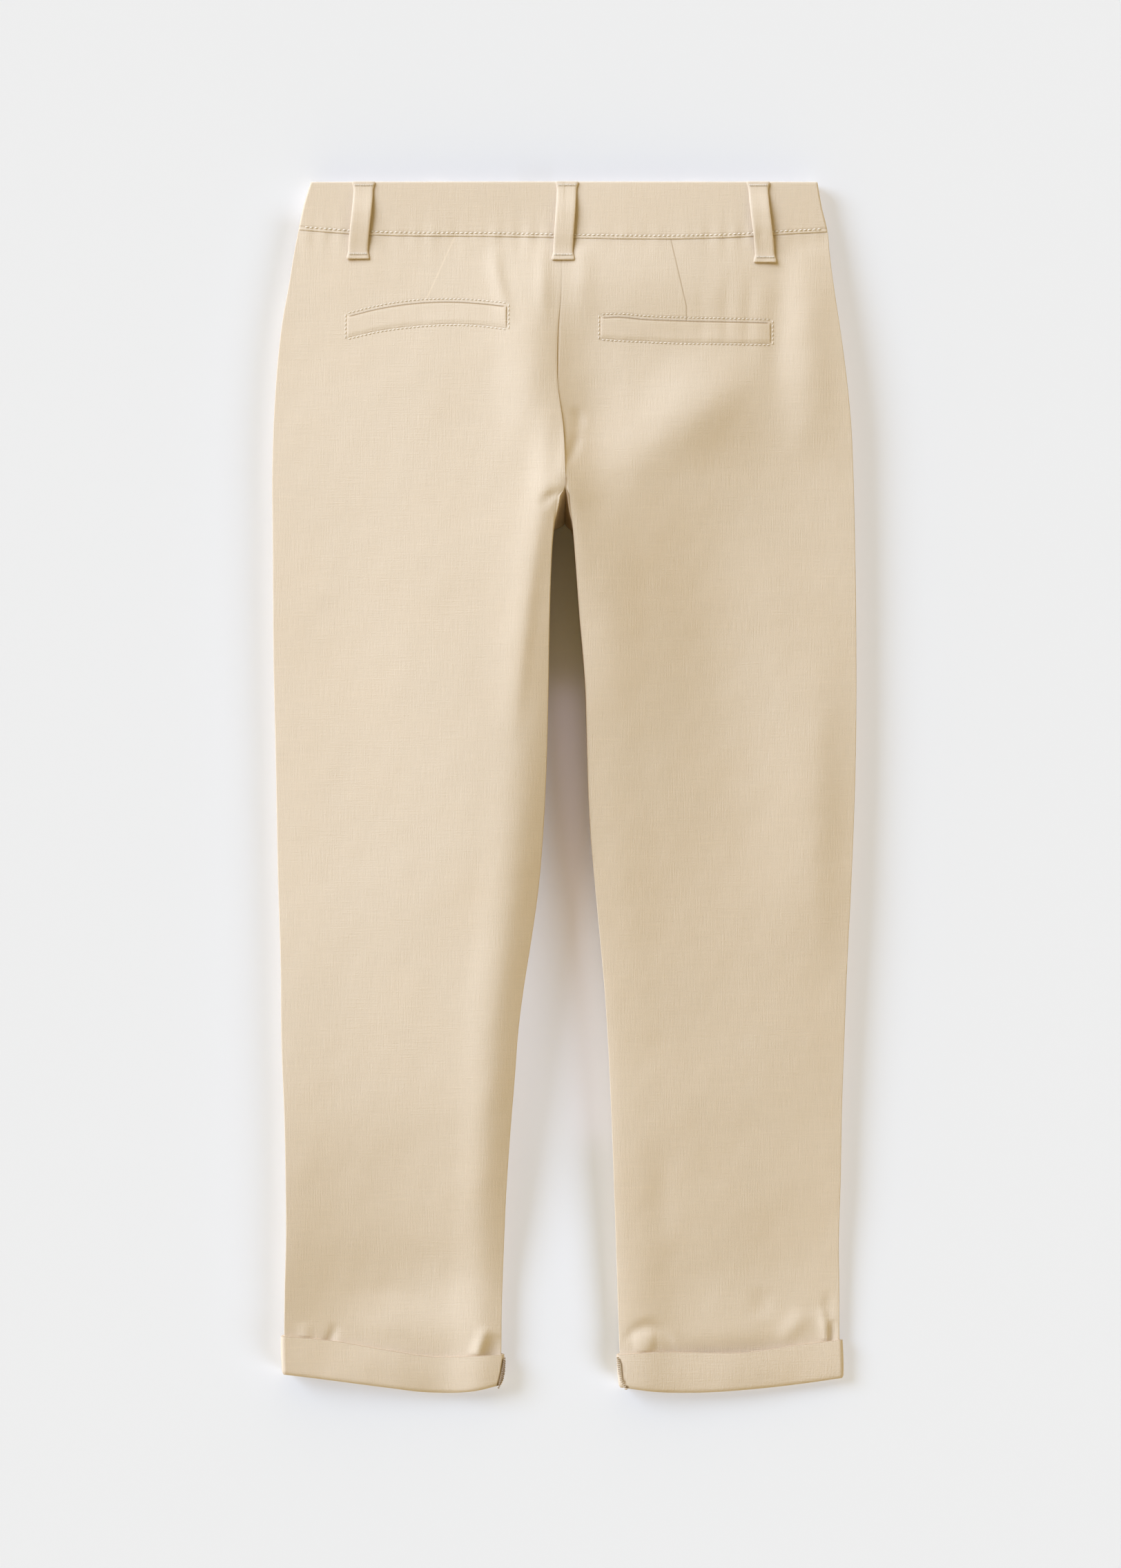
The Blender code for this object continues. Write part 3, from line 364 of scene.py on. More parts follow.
# the rolled face of a back panel. Its columns are places up the outer fold (0 at the seam, 1 on top), across
# the top and up the inner fold. Each fold is a wall with a belly, then a quarter circle; on the seat the
# inner one lies flat, and at the crotch it dives.
def backFace(side, down, columns, creased=True):
    outerTurn, share, innerTurn = columns
    table = folds[side]
    seams = edges(side, down)
    lines = foldLines(side, down)
    ends = []
    turned = []
    parts = (seams, lines, (-side, side), (outerTurn, innerTurn), ("outer", "inner"))
    for seam, line, inward, turn, key in zip(*parts):
        radius = along(table, key, down)
        up, angle = turnedUp(turn)
        x = seam + (line - seam) * belly(up) + inward * radius * (1 - np.cos(angle))
        ends.append(line + inward * radius)
        turned.append((x, up, radius * (1 - np.sin(angle)), seam, inward, radius))
    middle = ends[0] + (ends[1] - ends[0]) * share
    dive = np.clip((down - diveStart) / (crotch - diveStart), 0, 1) ** 1.2
    x, up, sunk, seam, inward, radius = turned[1]
    level = seam + (ends[1] - seam) * innerTurn
    innerX = level + (x - level) * dive
    x = np.where(outerTurn < 1, turned[0][0], np.where(innerTurn < 1, innerX, middle))
    height = upperHeight(side, x, down, creased)
    feet = [lowerHeight(side, each, down) + wall["panel"] + wall["lying"] for each in seams]
    outerZ = feet[0] + (height - turned[0][2] - feet[0]) * turned[0][1]
    innerZ = height + (feet[1] + (height - sunk - feet[1]) * up - height) * dive
    return x, np.where(outerTurn < 1, outerZ, np.where(innerTurn < 1, innerZ, height))


# height of the top of the waistband's back, on the same loft
def bandHeight(x, down):
    side = np.where(x < 0, -1, 1)
    lofted = np.where(x < 0, loftHeight(-1, x, down), loftHeight(1, x, down)) + wall["bandProud"]
    broad = np.where(side < 0, unevenness(x, down, 10, 90), unevenness(x, down, 12, 90))
    return lofted + uneven["broad"] * broad + uneven["pucker"] * puckers(x, down - 39, 37, 14, 7)


# height of the seat anywhere, the waistband's above its seam
def seatHeight(x, down):
    centre = along(centreBack, "seam", down)
    left = upperHeight(-1, np.minimum(x, centre), down)
    right = upperHeight(1, np.maximum(x, centre), down)
    panels = np.where(x < centre, left, right)
    return np.where(down < across(waistSeam, "line", x), bandHeight(x, down), panels)


# positions in millimetres from places across, distances down and heights
def points(x, down, z):
    return np.stack([x, totalLength / 2 - down, z + 0 * x], axis=-1)


# unit normals of a grid of points, turned upwards or downwards
def gridNormals(grid, upward):
    normal = np.cross(np.gradient(grid, axis=0), np.gradient(grid, axis=1))
    normal = normal / np.maximum(np.linalg.norm(normal, axis=-1, keepdims=True), 1e-9)
    return normal if (normal[..., 2].mean() > 0) == upward else -normal


# distance run along an axis of a grid of points
def runLength(grid, axis):
    step = np.linalg.norm(np.diff(grid, axis=axis), axis=-1)
    return np.insert(np.cumsum(step, axis=axis), 0, 0.0, axis=axis)


# makes the object, with its faces turned outwards by the sign of its volume
def addPiece(name, vertices, faces, uv, material, **fields):
    vertices = np.asarray(vertices, float) * mm
    quads = vertices[faces[:, [0, 1, 2, 0, 2, 3]].reshape(-1, 3)]
    if np.einsum("ij,ij->", quads[:, 0], np.cross(quads[:, 1], quads[:, 2])) < 0:
        faces = faces[:, ::-1]
    mesh = bpy.data.meshes.new(name)
    outlines = [face[:3] if face[2] == face[3] else face for face in faces.tolist()]
    mesh.from_pydata(vertices.tolist(), [], outlines)
    mesh.shade_smooth()
    corners = np.zeros(len(mesh.loops), np.int32)
    mesh.loops.foreach_get("vertex_index", corners)
    layer = mesh.uv_layers.new(name="UVMap")
    layer.data.foreach_set("uv", (np.asarray(uv, float)[corners] * mm).astype(np.float32).ravel())
    for field, values in fields.items():
        values = values.ravel().astype(np.float32)
        mesh.attributes.new(field, "FLOAT", "POINT").data.foreach_set("value", values)
    mesh.materials.append(material)
    piece = bpy.data.objects.new(name, mesh)
    bpy.context.scene.collection.objects.link(piece)
    return piece


# a sheet of cloth: an outer grid, an inner grid and a rim that bulges out between them as a half ellipse.
# Its flat places are u and v, and seam and wear say where it is darkened and lightened.
def addWall(name, outer, inner, material, bulge, u, v, seam, wear):
    rimSteps = 3
    rows, columns = outer.shape[:2]
    count = rows * columns
    index = np.arange(count).reshape(rows, columns)
    cells = np.stack([index[:-1, :-1], index[1:, :-1], index[1:, 1:], index[:-1, 1:]], axis=-1).reshape(-1, 4)
    border = np.concatenate([index[0, :-1], index[:-1, -1], index[-1, :0:-1], index[:0:-1, 0]])
    away = np.zeros_like(outer)
    away[0] += outer[0] - outer[1]
    away[-1] += outer[-1] - outer[-2]
    away[:, 0] += outer[:, 0] - outer[:, 1]
    away[:, -1] += outer[:, -1] - outer[:, -2]
    away = away.reshape(-1, 3)[border]
    away = away / np.maximum(np.linalg.norm(away, axis=1, keepdims=True), 1e-9)
    outside = outer.reshape(-1, 3)
    inside = inner.reshape(-1, 3)
    middle = (outside[border] + inside[border]) / 2
    half = (outside[border] - inside[border]) / 2
    turns = math.pi * np.arange(1, rimSteps + 1) / (rimSteps + 1)
    rims = [middle + half * math.cos(turn) + away * bulge * math.sin(turn) for turn in turns]
    between = [2 * count + k * len(border) + np.arange(len(border)) for k in range(rimSteps)]
    chain = [border] + between + [border + count]
    strips = [np.stack([a, np.roll(a, -1), np.roll(b, -1), b], axis=-1) for a, b in zip(chain, chain[1:])]
    faces = np.concatenate([cells, cells[:, ::-1] + count] + strips)
    uv = np.stack([u.ravel(), v.ravel()], axis=-1)
    uvRims = [uv[border] + bulge * math.sin(turn) for turn in turns]
    seam, wear = (np.concatenate([f, f] + [f[border]] * rimSteps) for f in (seam.ravel(), wear.ravel()))
    return addPiece(name, np.concatenate([outside, inside] + rims), faces, np.concatenate([uv, uv] + uvRims),
                    material, seam=seam, wear=wear)


# puts a piece on the garment's one body, in place of the plain solid of that name
def settled(piece, stands=None):
    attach(piece, "root")
    if stands:
        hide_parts(stands)
    return piece


# capsules of thread from a to b: round sections along a low arc, thinner towards both ends
def addStitches(name, starts, ends, ups, radius, material, arch=0.12):
    rings, sides = 5, 6
    run = ends - starts
    length = np.linalg.norm(run, axis=1, keepdims=True)
    sideways = np.cross(run / length, ups)
    sideways = sideways / np.linalg.norm(sideways, axis=1, keepdims=True)
    upwards = np.cross(sideways, run / length)
    share = (1 - np.cos(math.pi * np.arange(rings) / (rings - 1))) / 2
    share = 0.04 + 0.92 * share
    thick = radius * (1 - np.abs(2 * share - 1) ** 3) ** 0.5
    lift = arch * (1 - (2 * share - 1) ** 2)
    angle = math.tau * np.arange(sides) / sides
    centre = starts[:, None] + run[:, None] * share[None, :, None] + upwards[:, None] * lift[None, :, None]
    ring = (sideways[:, None, None] * np.cos(angle)[None, None, :, None]
            + upwards[:, None, None] * np.sin(angle)[None, None, :, None]) * thick[None, :, None, None]
    body = (centre[:, :, None] + ring).reshape(len(starts), rings * sides, 3)
    vertices = np.concatenate([body, starts[:, None], ends[:, None]], axis=1)
    index = np.arange(rings * sides).reshape(rings, sides)
    around = np.roll(index, -1, axis=1)
    sideFaces = np.stack([index[:-1], around[:-1], around[1:], index[1:]], axis=-1).reshape(-1, 4)
    first = rings * sides
    poles = [np.full(sides, first + step) for step in (0, 1)]
    startCap = np.stack([around[0], index[0], poles[0], poles[0]], axis=-1)
    endCap = np.stack([index[-1], around[-1], poles[1], poles[1]], axis=-1)
    faces = np.concatenate([sideFaces, startCap, endCap])
    each = vertices.shape[1]
    faces = (faces[None] + each * np.arange(len(starts))[:, None, None]).reshape(-1, 4)
    place = np.concatenate([np.repeat(share, sides), [0, 1]])
    turn = np.concatenate([np.tile(angle / math.tau, rings), [0, 0]])
    uv = np.stack([np.tile(place, (len(starts), 1)) * length, np.tile(turn, (len(starts), 1))], axis=-1)
    return addPiece(name, vertices.reshape(-1, 3), faces, uv.reshape(-1, 2), material)


# a row of stitches along a line given by x and down, on a height function, with hand-like unevenness
def stitchRow(lineX, lineDown, height, pitch, length, seed, clear):
    random = np.random.default_rng(seed)
    run = np.concatenate([[0], np.cumsum(np.hypot(np.diff(lineX), np.diff(lineDown)))])
    count = max(2, int(run[-1] / pitch))
    middle = (np.arange(count) + 0.5) * run[-1] / count + random.normal(0, 0.05, count)
    half = length / 2 * random.uniform(0.9, 1.06, count)
    ends = []
    for at in (middle - half, middle + half, middle):
        x = np.interp(at, run, lineX)
        down = np.interp(at, run, lineDown)
        ends.append(points(x, down, height(x, down) + clear))
    step = 0.8
    slopeX = (height(x + step, down) - height(x - step, down)) / (2 * step)
    slopeY = (height(x, down - step) - height(x, down + step)) / (2 * step)
    up = np.stack([-slopeX, -slopeY, np.ones_like(x)], axis=-1)
    return ends[0], ends[1], up / np.linalg.norm(up, axis=1, keepdims=True)


# a socket whose arithmetic adds Math nodes to its tree
class Field:
    def __init__(self, tree, socket=None):
        self.tree = tree
        self.socket = socket

    # any node by its type, its settings, and the values or links of its sockets
    def node(self, kind, settings=None, values=None, out=0):
        made = self.tree.nodes.new("ShaderNode" + kind)
        for name, value in (settings or {}).items():
            setattr(made, name, value)
        for name, value in (values or {}).items():
            if isinstance(value, Field):
                self.tree.links.new(value.socket, made.inputs[name])
            else:
                made.inputs[name].default_value = value
        return Field(self.tree, made.outputs[out])

    def math(self, operation, a, b=0.0, c=0.0):
        return self.node("Math", {"operation": operation}, {0: a, 1: b, 2: c})

    def __add__(self, other):
        return self.math("ADD", self, other)

    def __sub__(self, other):
        return self.math("SUBTRACT", self, other)

    def __rsub__(self, other):
        return self.math("SUBTRACT", other, self)

    def __mul__(self, other):
        return self.math("MULTIPLY", self, other)

    def __pow__(self, other):
        return self.math("POWER", self, other)

    __radd__ = __add__
    __rmul__ = __mul__

    # 0 below low, 1 above high, smooth between
    def step(self, low, high):
        return self.node("MapRange", {"interpolation_type": "SMOOTHSTEP"}, {0: self, 1: low, 2: high})

    # vector arithmetic
    def vector(self, operation, *others, out=0, **values):
        sockets = {k: v for k, v in enumerate((self,) + others)}
        return self.node("VectorMath", {"operation": operation}, {**sockets, **values}, out)

    # noise about zero, at a size given in metres
    def noise(self, place, size, detail=2.0, roughness=0.5):
        values = {"Vector": place, "Scale": 1 / size, "Detail": detail, "Roughness": roughness}
        return self.node("TexNoise", None, values) - 0.5

    # mixes two colours
    def mixed(self, share, a, b):
        settings = {"data_type": "RGBA", "clamp_factor": True}
        return self.node("Mix", settings, {0: share, 6: a, 7: b}, 2)


# the two directions of a piece's own flat places
def flatPlaces(field):
    uv = field.node("UVMap", {"uv_map": "UVMap"})
    split = field.node("SeparateXYZ", None, {0: uv}).socket.node.outputs
    return uv, Field(field.tree, split[0]), Field(field.tree, split[1])


# an empty material: its tree as a field, and a function that links its shader
def newMaterial(name, constants):
    material = bpy.data.materials.new(name)
    material.use_nodes = True
    tree = material.node_tree
    shader = tree.nodes["Principled BSDF"]
    for socket, value in constants.items():
        shader.inputs[socket].default_value = value

    def finish(links):
        for socket, field in links.items():
            tree.links.new(field.socket, shader.inputs[socket])
        return material

    return Field(tree), finish


# Twill. Its lightness is one plus ribs (a sine across the diagonal), threads (noise drawn out along each
# yarn), slubs, speckle, slow clouds and painted highlights along given lines; the seam field darkens and
# warms it, at dark seams and where shade is painted, and worn edges lighten it.
twillLook = {
    "colour": (0.770, 0.640, 0.478, 1), "warmForShadeAndTone": (0.610, 0.425, 0.235, 1), "pale": (0.830, 0.715, 0.565, 1),
    "ribPitch": 0.0009, "rib": 0.006, "thread": 0.085, "speckle": 0.085, "slub": 0.12, "cloud": 0.04,
    "darkSeamsAndPaintedShade": 0.16, "wearLight": 0.30, "bump": 0.00016, "marks": (), "lights": (),
}


def twill(name, **changes):
    look = {**twillLook, **changes}
    field, finish = newMaterial(name, {
        "Sheen Weight": 0.12, "Sheen Roughness": 0.55, "Sheen Tint": (1.0, 0.93, 0.84, 1),
        "Specular IOR Level": 0.18,
    })
    place = field.node("TexCoord", None, None, "Object")
    uv, weftRun, warpRun = flatPlaces(field)
    wander = field.noise(uv, 0.012, 1) * 0.0006
    rib = field.math("SINE", (weftRun * 0.83 + warpRun * 0.56 + wander) * (math.tau / look["ribPitch"]))
    warpPlace = uv.vector("MULTIPLY", (1.0, 0.06, 1.0))
    weftPlace = uv.vector("MULTIPLY", (0.05, 1.0, 1.0))
    thread = field.noise(warpPlace, 0.0009, 2) + field.noise(weftPlace, 0.0009, 2) * 0.8
    slub = field.math("MAXIMUM", field.noise(weftPlace, 0.0022, 1) - 0.10, 0.0)
    speckle = field.noise(uv, 0.0011, 3, 0.65)
    cloud = field.noise(place, 0.05, 3) + field.noise(place, 0.16, 2)
    seam = field.node("Attribute", {"attribute_name": "seam"}, None, "Fac")
    wear = field.node("Attribute", {"attribute_name": "wear"}, None, "Fac")
    lightness = (rib * look["rib"] + thread * look["thread"] + slub * look["slub"] + speckle * look["speckle"]
                 + cloud * look["cloud"] + 1.0)
    for start, end, width in look["marks"]:
        seam = seam.math("MAXIMUM", seam, lineMark(place, start, end, width))
    # painted highlights: lighter lines where a fold catches the light
    for start, end, width in look["lights"]:
        lightness = lightness + lineMark(place, start, end, width) * 0.09
    lightness = lightness * (1.0 - seam * look["darkSeamsAndPaintedShade"])
    # the seam field also warms the colour, the warmth of painted shade; the clouds add random tone
    tinted = field.mixed(seam.step(0.1, 1.8) * 0.9 + cloud * 0.15 + 0.02, look["colour"], look["warmForShadeAndTone"])
    worn = field.mixed(wear * look["wearLight"] * (speckle + 1.0), tinted, look["pale"])
    colour = worn.vector("SCALE", Scale=lightness)
    height = rib * 0.12 + thread * 1.6 + speckle * 1.6 - seam * 1.0
    normal = field.node("Bump", None, {"Height": height, "Distance": look["bump"], "Strength": 0.7})
    return finish({"Base Color": colour, "Roughness": speckle * 0.12 + 0.90 - wear * 0.06, "Normal": normal})


# 1 on a straight seam between two places (in millimetres, x and down), falling to 0 at its width
def lineMark(place, start, end, width):
    a = np.array([start[0], totalLength / 2 - start[1]]) * mm
    b = np.array([end[0], totalLength / 2 - end[1]]) * mm
    length = float(np.linalg.norm(b - a))
    heading = ((b - a) / length).tolist()
    offset = place.vector("MULTIPLY", (1, 1, 0)).vector("SUBTRACT", (float(a[0]), float(a[1]), 0))
    run = offset.vector("DOT_PRODUCT", (heading[0], heading[1], 0), out=1)
    run = run.math("MINIMUM", run.math("MAXIMUM", run, 0.0), length)
    nearest = place.node("CombineXYZ", None, {0: run * heading[0], 1: run * heading[1]})
    distance = offset.vector("DISTANCE", nearest, out=1)
    return 1.0 - distance.step(width * 0.25 * mm, width * mm)


# sewing thread: two plies that wind round, lighter where they catch the light
def sewingThread(name, colour):
    field, finish = newMaterial(name, {"Sheen Weight": 0.2, "Specular IOR Level": 0.3})
    lengthways, around = flatPlaces(field)[1:]
    ply = field.math("SINE", (lengthways * 1400.0 + around * 1000.0) * math.tau)
    fuzz = field.noise(field.node("TexCoord", None, None, "Object"), 0.0006, 2)
    shade = field.mixed(ply * 0.25 + fuzz * 0.8 + 0.5, [c * 0.86 for c in colour[:3]] + [1], colour)
    normal = field.node("Bump", None, {"Height": ply + fuzz, "Distance": 0.00008, "Strength": 0.6})
    return finish({"Base Color": shade, "Roughness": fuzz * 0.2 + 0.72, "Normal": normal})


# the left dart is drawn as a painted highlight and the right dart as a dark line of painted shade
leftDart = (((-79.3, 40), (-99.8, 86), 0.9),)
rightDart = (((76.8, 40.5), (88.3, 90.5), 0.7), ((88.3, 90.5), (88.3, 101), 0.7))
backTwill = twill("backTwill", marks=rightDart, lights=leftDart)
flySeams = (((-36, 40), (-35, 150), 0.9), ((-35, 150), (-22, 178), 0.9), ((-22, 178), (-3, 190), 0.9))
pocketSeams = (((-148, 40), (-205, 172), 0.9), ((148, 40), (205, 172), 0.9))
frontTwill = twill("frontTwill", marks=flySeams + pocketSeams)
bandTwill = twill("bandTwill", colour=(0.765, 0.633, 0.470, 1), cloud=0.035)
trimTwill = twill("trimTwill", colour=(0.775, 0.643, 0.480, 1))
cuffTwill = twill("cuffTwill", colour=(0.775, 0.645, 0.485, 1), thread=0.10)
seamThread = sewingThread("seamThread", (0.97, 0.88, 0.74, 1))
tackThread = sewingThread("tackThread", (0.93, 0.83, 0.68, 1))
print("materials made")

# Back panels
panelGrid = {"stretches": ((40, 84, 1.45), (84, 122, 0.6), (122, 252, 1.45), (252, 760, 3.1),
                           (760, 865, 1.25)), "turnSteps": 12,
             "middleSteps": 84, "bend": 70.0, "top": 40.0, "end": 865.0, "cuffLip": 5.1}
# how dark the back's seams are, and the painted shade on the right leg's inner fold and the crest over it;
# the waist's dark line includes painted shade under the waistband's edge
darkSeamsAndPaintedShade = {"centre": 0.25, "waist": 0.6, "welt": {-1: 0.25, 1: 0.7}, "innerFoldPaintedShade": 1.6, "crest": 0.5}


def panelRows():
    rows = [np.arange(start, end, step) for start, end, step in panelGrid["stretches"]]
    return np.append(np.concatenate(rows), panelGrid["end"])


# columns of a panel: up the outer fold, across, and down the inner fold
def panelColumns(turnSteps, middleSteps):
    turn = np.linspace(0, 1, turnSteps + 1)
    nearEnds = np.array([0.15, 0.5])
    middle = np.concatenate([nearEnds, np.arange(1, middleSteps), middleSteps - nearEnds[::-1]]) / middleSteps
    outerTurn = np.concatenate([turn, 1 + 0 * middle, 1 + 0 * turn])
    share = np.concatenate([0 * turn, middle, 1 + 0 * turn])
    return outerTurn, share, outerTurn[::-1].copy()


# rows of a panel, bent to follow the waist seam and the cuff's fold
def panelDown(side, x, nominal):
    top = across(waistSeam, "line", x) + wall["seamGap"] / 2
    end = across(cuffLines[side], "bottom", x) - panelGrid["cuffLip"]
    rows = nominal[:, None]
    nearTop = ease((panelGrid["top"] + panelGrid["bend"] - rows) / panelGrid["bend"])
    nearEnd = ease((rows - panelGrid["end"] + panelGrid["bend"]) / panelGrid["bend"])
    return rows + (top - panelGrid["top"]) * nearTop + (end - panelGrid["end"]) * nearEnd


def backPanel(side, name):
    columns = panelColumns(panelGrid["turnSteps"], panelGrid["middleSteps"])
    nominal = panelRows()
    x = backFace(side, np.repeat(nominal[:, None], len(columns[0]), axis=1), columns)[0]
    down = panelDown(side, x, nominal)
    x, height = backFace(side, down, columns)
    outer = points(x, down, height)
    inner = outer - wall["panel"] * gridNormals(outer, True)
    joined = down[:, -1] < crotch + 3.5
    inner[:, 0, 2] = outer[:, 0, 2]
    inner[joined, -1, 0] = outer[joined, -1, 0]
    inner[~joined, -1, 2] = outer[~joined, -1, 2]
    inner[0, :, 1] = outer[0, :, 1]
    inner[-1, :, 1] = outer[-1, :, 1]
    run = runLength(outer, 1)
    half = x.shape[1] // 2
    flatX = (run - run[:, half:half + 1]) * -side + x[:, half:half + 1]
    seam = darkSeamsAndPaintedShade["centre"] * bell(edges(side, down)[1] - x, 0.7) * (down < crotch)
    # the waist seam's dark line, with painted shade where the panel runs under the waistband's edge
    seam = seam + darkSeamsAndPaintedShade["waist"] * bell(down - down[:1], 1.2)
    seam = seam + darkSeamsAndPaintedShade["welt"][side] * weltLines(side, x, down)
    # painted shade on the right leg's inner fold and along the crest over it, where the left leg shades it
    leg = ease((down - 211) / 8) * ease((560 - down) / 120) * (side > 0)
    seam = seam + darkSeamsAndPaintedShade["innerFoldPaintedShade"] * leg * (columns[2] < 1)
    seam = seam + darkSeamsAndPaintedShade["crest"] * leg * bell(foldLines(side, down)[1] - x, 1.5)
    return settled(addWall(name, outer, inner, backTwill, 0.05, flatX, down, seam, 0 * seam), name)


backLeft = backPanel(-1, "back_left")
backRight = backPanel(1, "back_right")
print("back panels made")

# Front panels, lying under the back with their face down
frontGrid = {"middleSteps": 56, "rowStep": 2}


def frontPanel(side, name):
    nominal = panelRows()[::frontGrid["rowStep"]]
    nominal = np.append(nominal, panelGrid["end"]) if nominal[-1] < panelGrid["end"] else nominal
    across = (1 - np.cos(np.linspace(0, math.pi, frontGrid["middleSteps"] + 1))) / 2
    outer, inner = (edge[:, None] for edge in edges(side, nominal))
    down = panelDown(side, outer + (inner - outer) * across, nominal)
    outer, inner = edges(side, down)
    x = outer + (inner - outer) * across
    outer = points(x, down, lowerHeight(side, x, down))
    inner = outer - wall["panel"] * gridNormals(outer, False)
    inner[:, [0, -1], 0] = outer[:, [0, -1], 0]
    inner[[0, -1], :, 1] = outer[[0, -1], :, 1]
    seam = bell(edges(side, down)[1] - x, 0.9) * (down < crotch)
    # the waist seam's dark line, with painted shade under the waistband's edge
    seam = seam + darkSeamsAndPaintedShade["waist"] * bell(down - down[:1], 1.2)
    return settled(addWall(name, outer, inner, frontTwill, 0.12, x, down, seam, 0 * seam), name)


frontLeft = frontPanel(-1, "front_left")
frontRight = frontPanel(1, "front_right")
print("front panels made")

# Waistband
band = {"rows": 46, "backColumns": 380, "frontColumns": 130, "stitchAbove": 2.4, "stitchPitch": 3.4,
        "stitchLength": 2.35, "threadRadius": 0.52, "groove": 0.2, "overlap": 9.0,
        "turnSteps": 10, "foldRadius": 1.4}


# rows of the waistband, from its top edge to its seam
def bandDown(x, share):
    return share * (across(waistSeam, "line", x) - wall["seamGap"] / 2)


# the waistband's back with both its ends folded over as the panels are
def bandFace():
    outerTurn, place, innerTurn = panelColumns(band["turnSteps"], band["backColumns"])
    share = np.linspace(0, 1, band["rows"] + 1)[:, None] + 0 * place
    down = bandDown((place - 0.5) * 384, share)
    widths = [along(sections, side, down) for side in (-1, 1)]
    foot = underneath["rest"][0] + turnUp["lift"] + wall["band"] + wall["lying"]
    radius = band["foldRadius"]
    middle = -widths[0] + radius + (widths[0] + widths[1] - 2 * radius) * place
    x, rise, sunk = middle, 1 + 0 * middle, 0 * middle
    for side, turn, width in ((-1, outerTurn + 0 * down, widths[0]), (1, innerTurn + 0 * down, widths[1])):
        up, angle = turnedUp(turn)
        folded = side * (width - tuck + tuck * belly(up) - radius * (1 - np.cos(angle)))
        x = np.where(turn < 1, folded, x)
        rise = np.where(turn < 1, up, rise)
        sunk = np.where(turn < 1, radius * (1 - np.sin(angle)), sunk)
    height = bandHeight(x, down) - stitchGroove(x, down)
    return x, down, foot + (height - sunk - foot) * rise


# how deep the waistband is drawn in along its stitches: a bell across the row
def stitchGroove(x, down):
    fromSeam = across(waistSeam, "line", x) - down
    return band["groove"] * bell(fromSeam - band["stitchAbove"], 0.8)


# the waistband's marks: dark along its stitches, worn along both edges
def bandMarks(down, dark):
    edge = down[-1:] - down
    return bell(edge - band["stitchAbove"], 0.6) * dark, np.clip(bell(down, 1.2) + bell(edge, 0.8), 0, 1)


def bandBack():
    x, down, height = bandFace()
    outer = points(x, down, height)
    inner = outer - wall["band"] * gridNormals(outer, True)
    inner[:, [0, -1], 2] = outer[:, [0, -1], 2]
    inner[[0, -1], :, 1] = outer[[0, -1], :, 1]
    piece = addWall("waistband_back", outer, inner, bandTwill, 0.5, x, down, *bandMarks(down, 0.7))
    return settled(piece, "waistband_back")


# one end of the front waistband lies at the side seam, the other at the fly
def bandFront(name, side, flyEnd):
    places = np.sin(np.linspace(0, 1, band["frontColumns"] + 1) * math.pi / 2)
    share, place = np.meshgrid(np.linspace(0, 1, band["rows"] + 1), places, indexing="ij")
    down = bandDown(flyEnd + (side * 190 - flyEnd) * place, share)
    sideSeam = side * (along(sections, side, down) - tuck)
    x = flyEnd + (sideSeam - flyEnd) * place
    height = underneath["rest"][0] + margin(sideSeam - x)
    outer = points(x, down, height + stitchGroove(x, down))
    inner = points(x, down, height + wall["band"])
    piece = addWall(name, outer, inner, bandTwill, 0.4, x, down, *bandMarks(down, 0.5))
    return settled(piece, name)


waistbandBack = bandBack()
waistbandFrontLeft = bandFront("waistband_front_left", -1, band["overlap"])
waistbandFrontRight = bandFront("waistband_front_right", 1, band["overlap"] + wall["seamGap"])

lineX = np.linspace(-188, 186, 500)
rowDown = across(waistSeam, "line", lineX) - band["stitchAbove"]
row = stitchRow(lineX, rowDown, lambda x, d: bandHeight(x, d) - stitchGroove(x, d), band["stitchPitch"],
                band["stitchLength"], 5, 0.16)
bandStitches = addStitches("waistband_back_stitches", *row, band["threadRadius"], seamThread)
settled(bandStitches)
print("waistband made")

# Belt loops
loops = {
    "width": 13.4, "flare": 2.4, "flareReach": 6.0, "tack": 2.0, "rise": 22.0, "fall": 26.0,
    "rows": 70, "columns": 20,
    "back": {"loop_back_left": (-145.2, -149.2, 55.5), "loop_back_centre": (1.8, -1.0, 56.5),
             "loop_back_right": (140.2, 145.0, 58.0)},
    "front": {"loop_front_left": (-92.0, -94.5, 56.0), "loop_front_right": (94.0, 96.5, 56.0)},
}


# places along a belt loop with its flared ends, how free it stands, its long edges and how near its ends are
def loopPlaces(topX, endX, endDown):
    shares = np.linspace(0, 1, loops["rows"] + 1)
    share, half = np.meshgrid(shares, np.linspace(-0.5, 0.5, loops["columns"] + 1), indexing="ij")
    down = share * endDown
    toEnd = np.minimum(down, endDown - down)
    flare = loops["flare"] * (1 - ease(toEnd / loops["flareReach"]))
    x = topX + (endX - topX) * ease(share) + half * (loops["width"] + flare)
    free = ease((down - loops["tack"]) / loops["rise"])
    free = free * ease((endDown - down - loops["tack"]) / loops["fall"])
    return x, down, free, bell(0.5 - np.abs(half), 0.05), toEnd


def backLoop(name, topX, endX, endDown):
    x, down, free, wear, toEnd = loopPlaces(topX, endX, endDown)
    middle = np.repeat(x[:, [loops["columns"] // 2]], x.shape[1], axis=1)
    offBand = wall["bandProud"] * ease((down - 38) / 14)
    bed = np.maximum(bandHeight(x, down) - offBand, bandHeight(middle, down) - offBand)
    inner = points(x, down, bed + wall["lying"] + wall["loopStand"] * free)
    outer = inner + (wall["loop"] - 0.30 * wear)[..., None] * gridNormals(inner, True)
    outer[[0, -1], :, 1] = inner[[0, -1], :, 1]
    seam = 0.12 * bell(toEnd - 2.2, 0.8)
    piece = addWall(name, outer, inner, trimTwill, 0.45, x, down, seam, wear)
    return settled(piece, name), outer


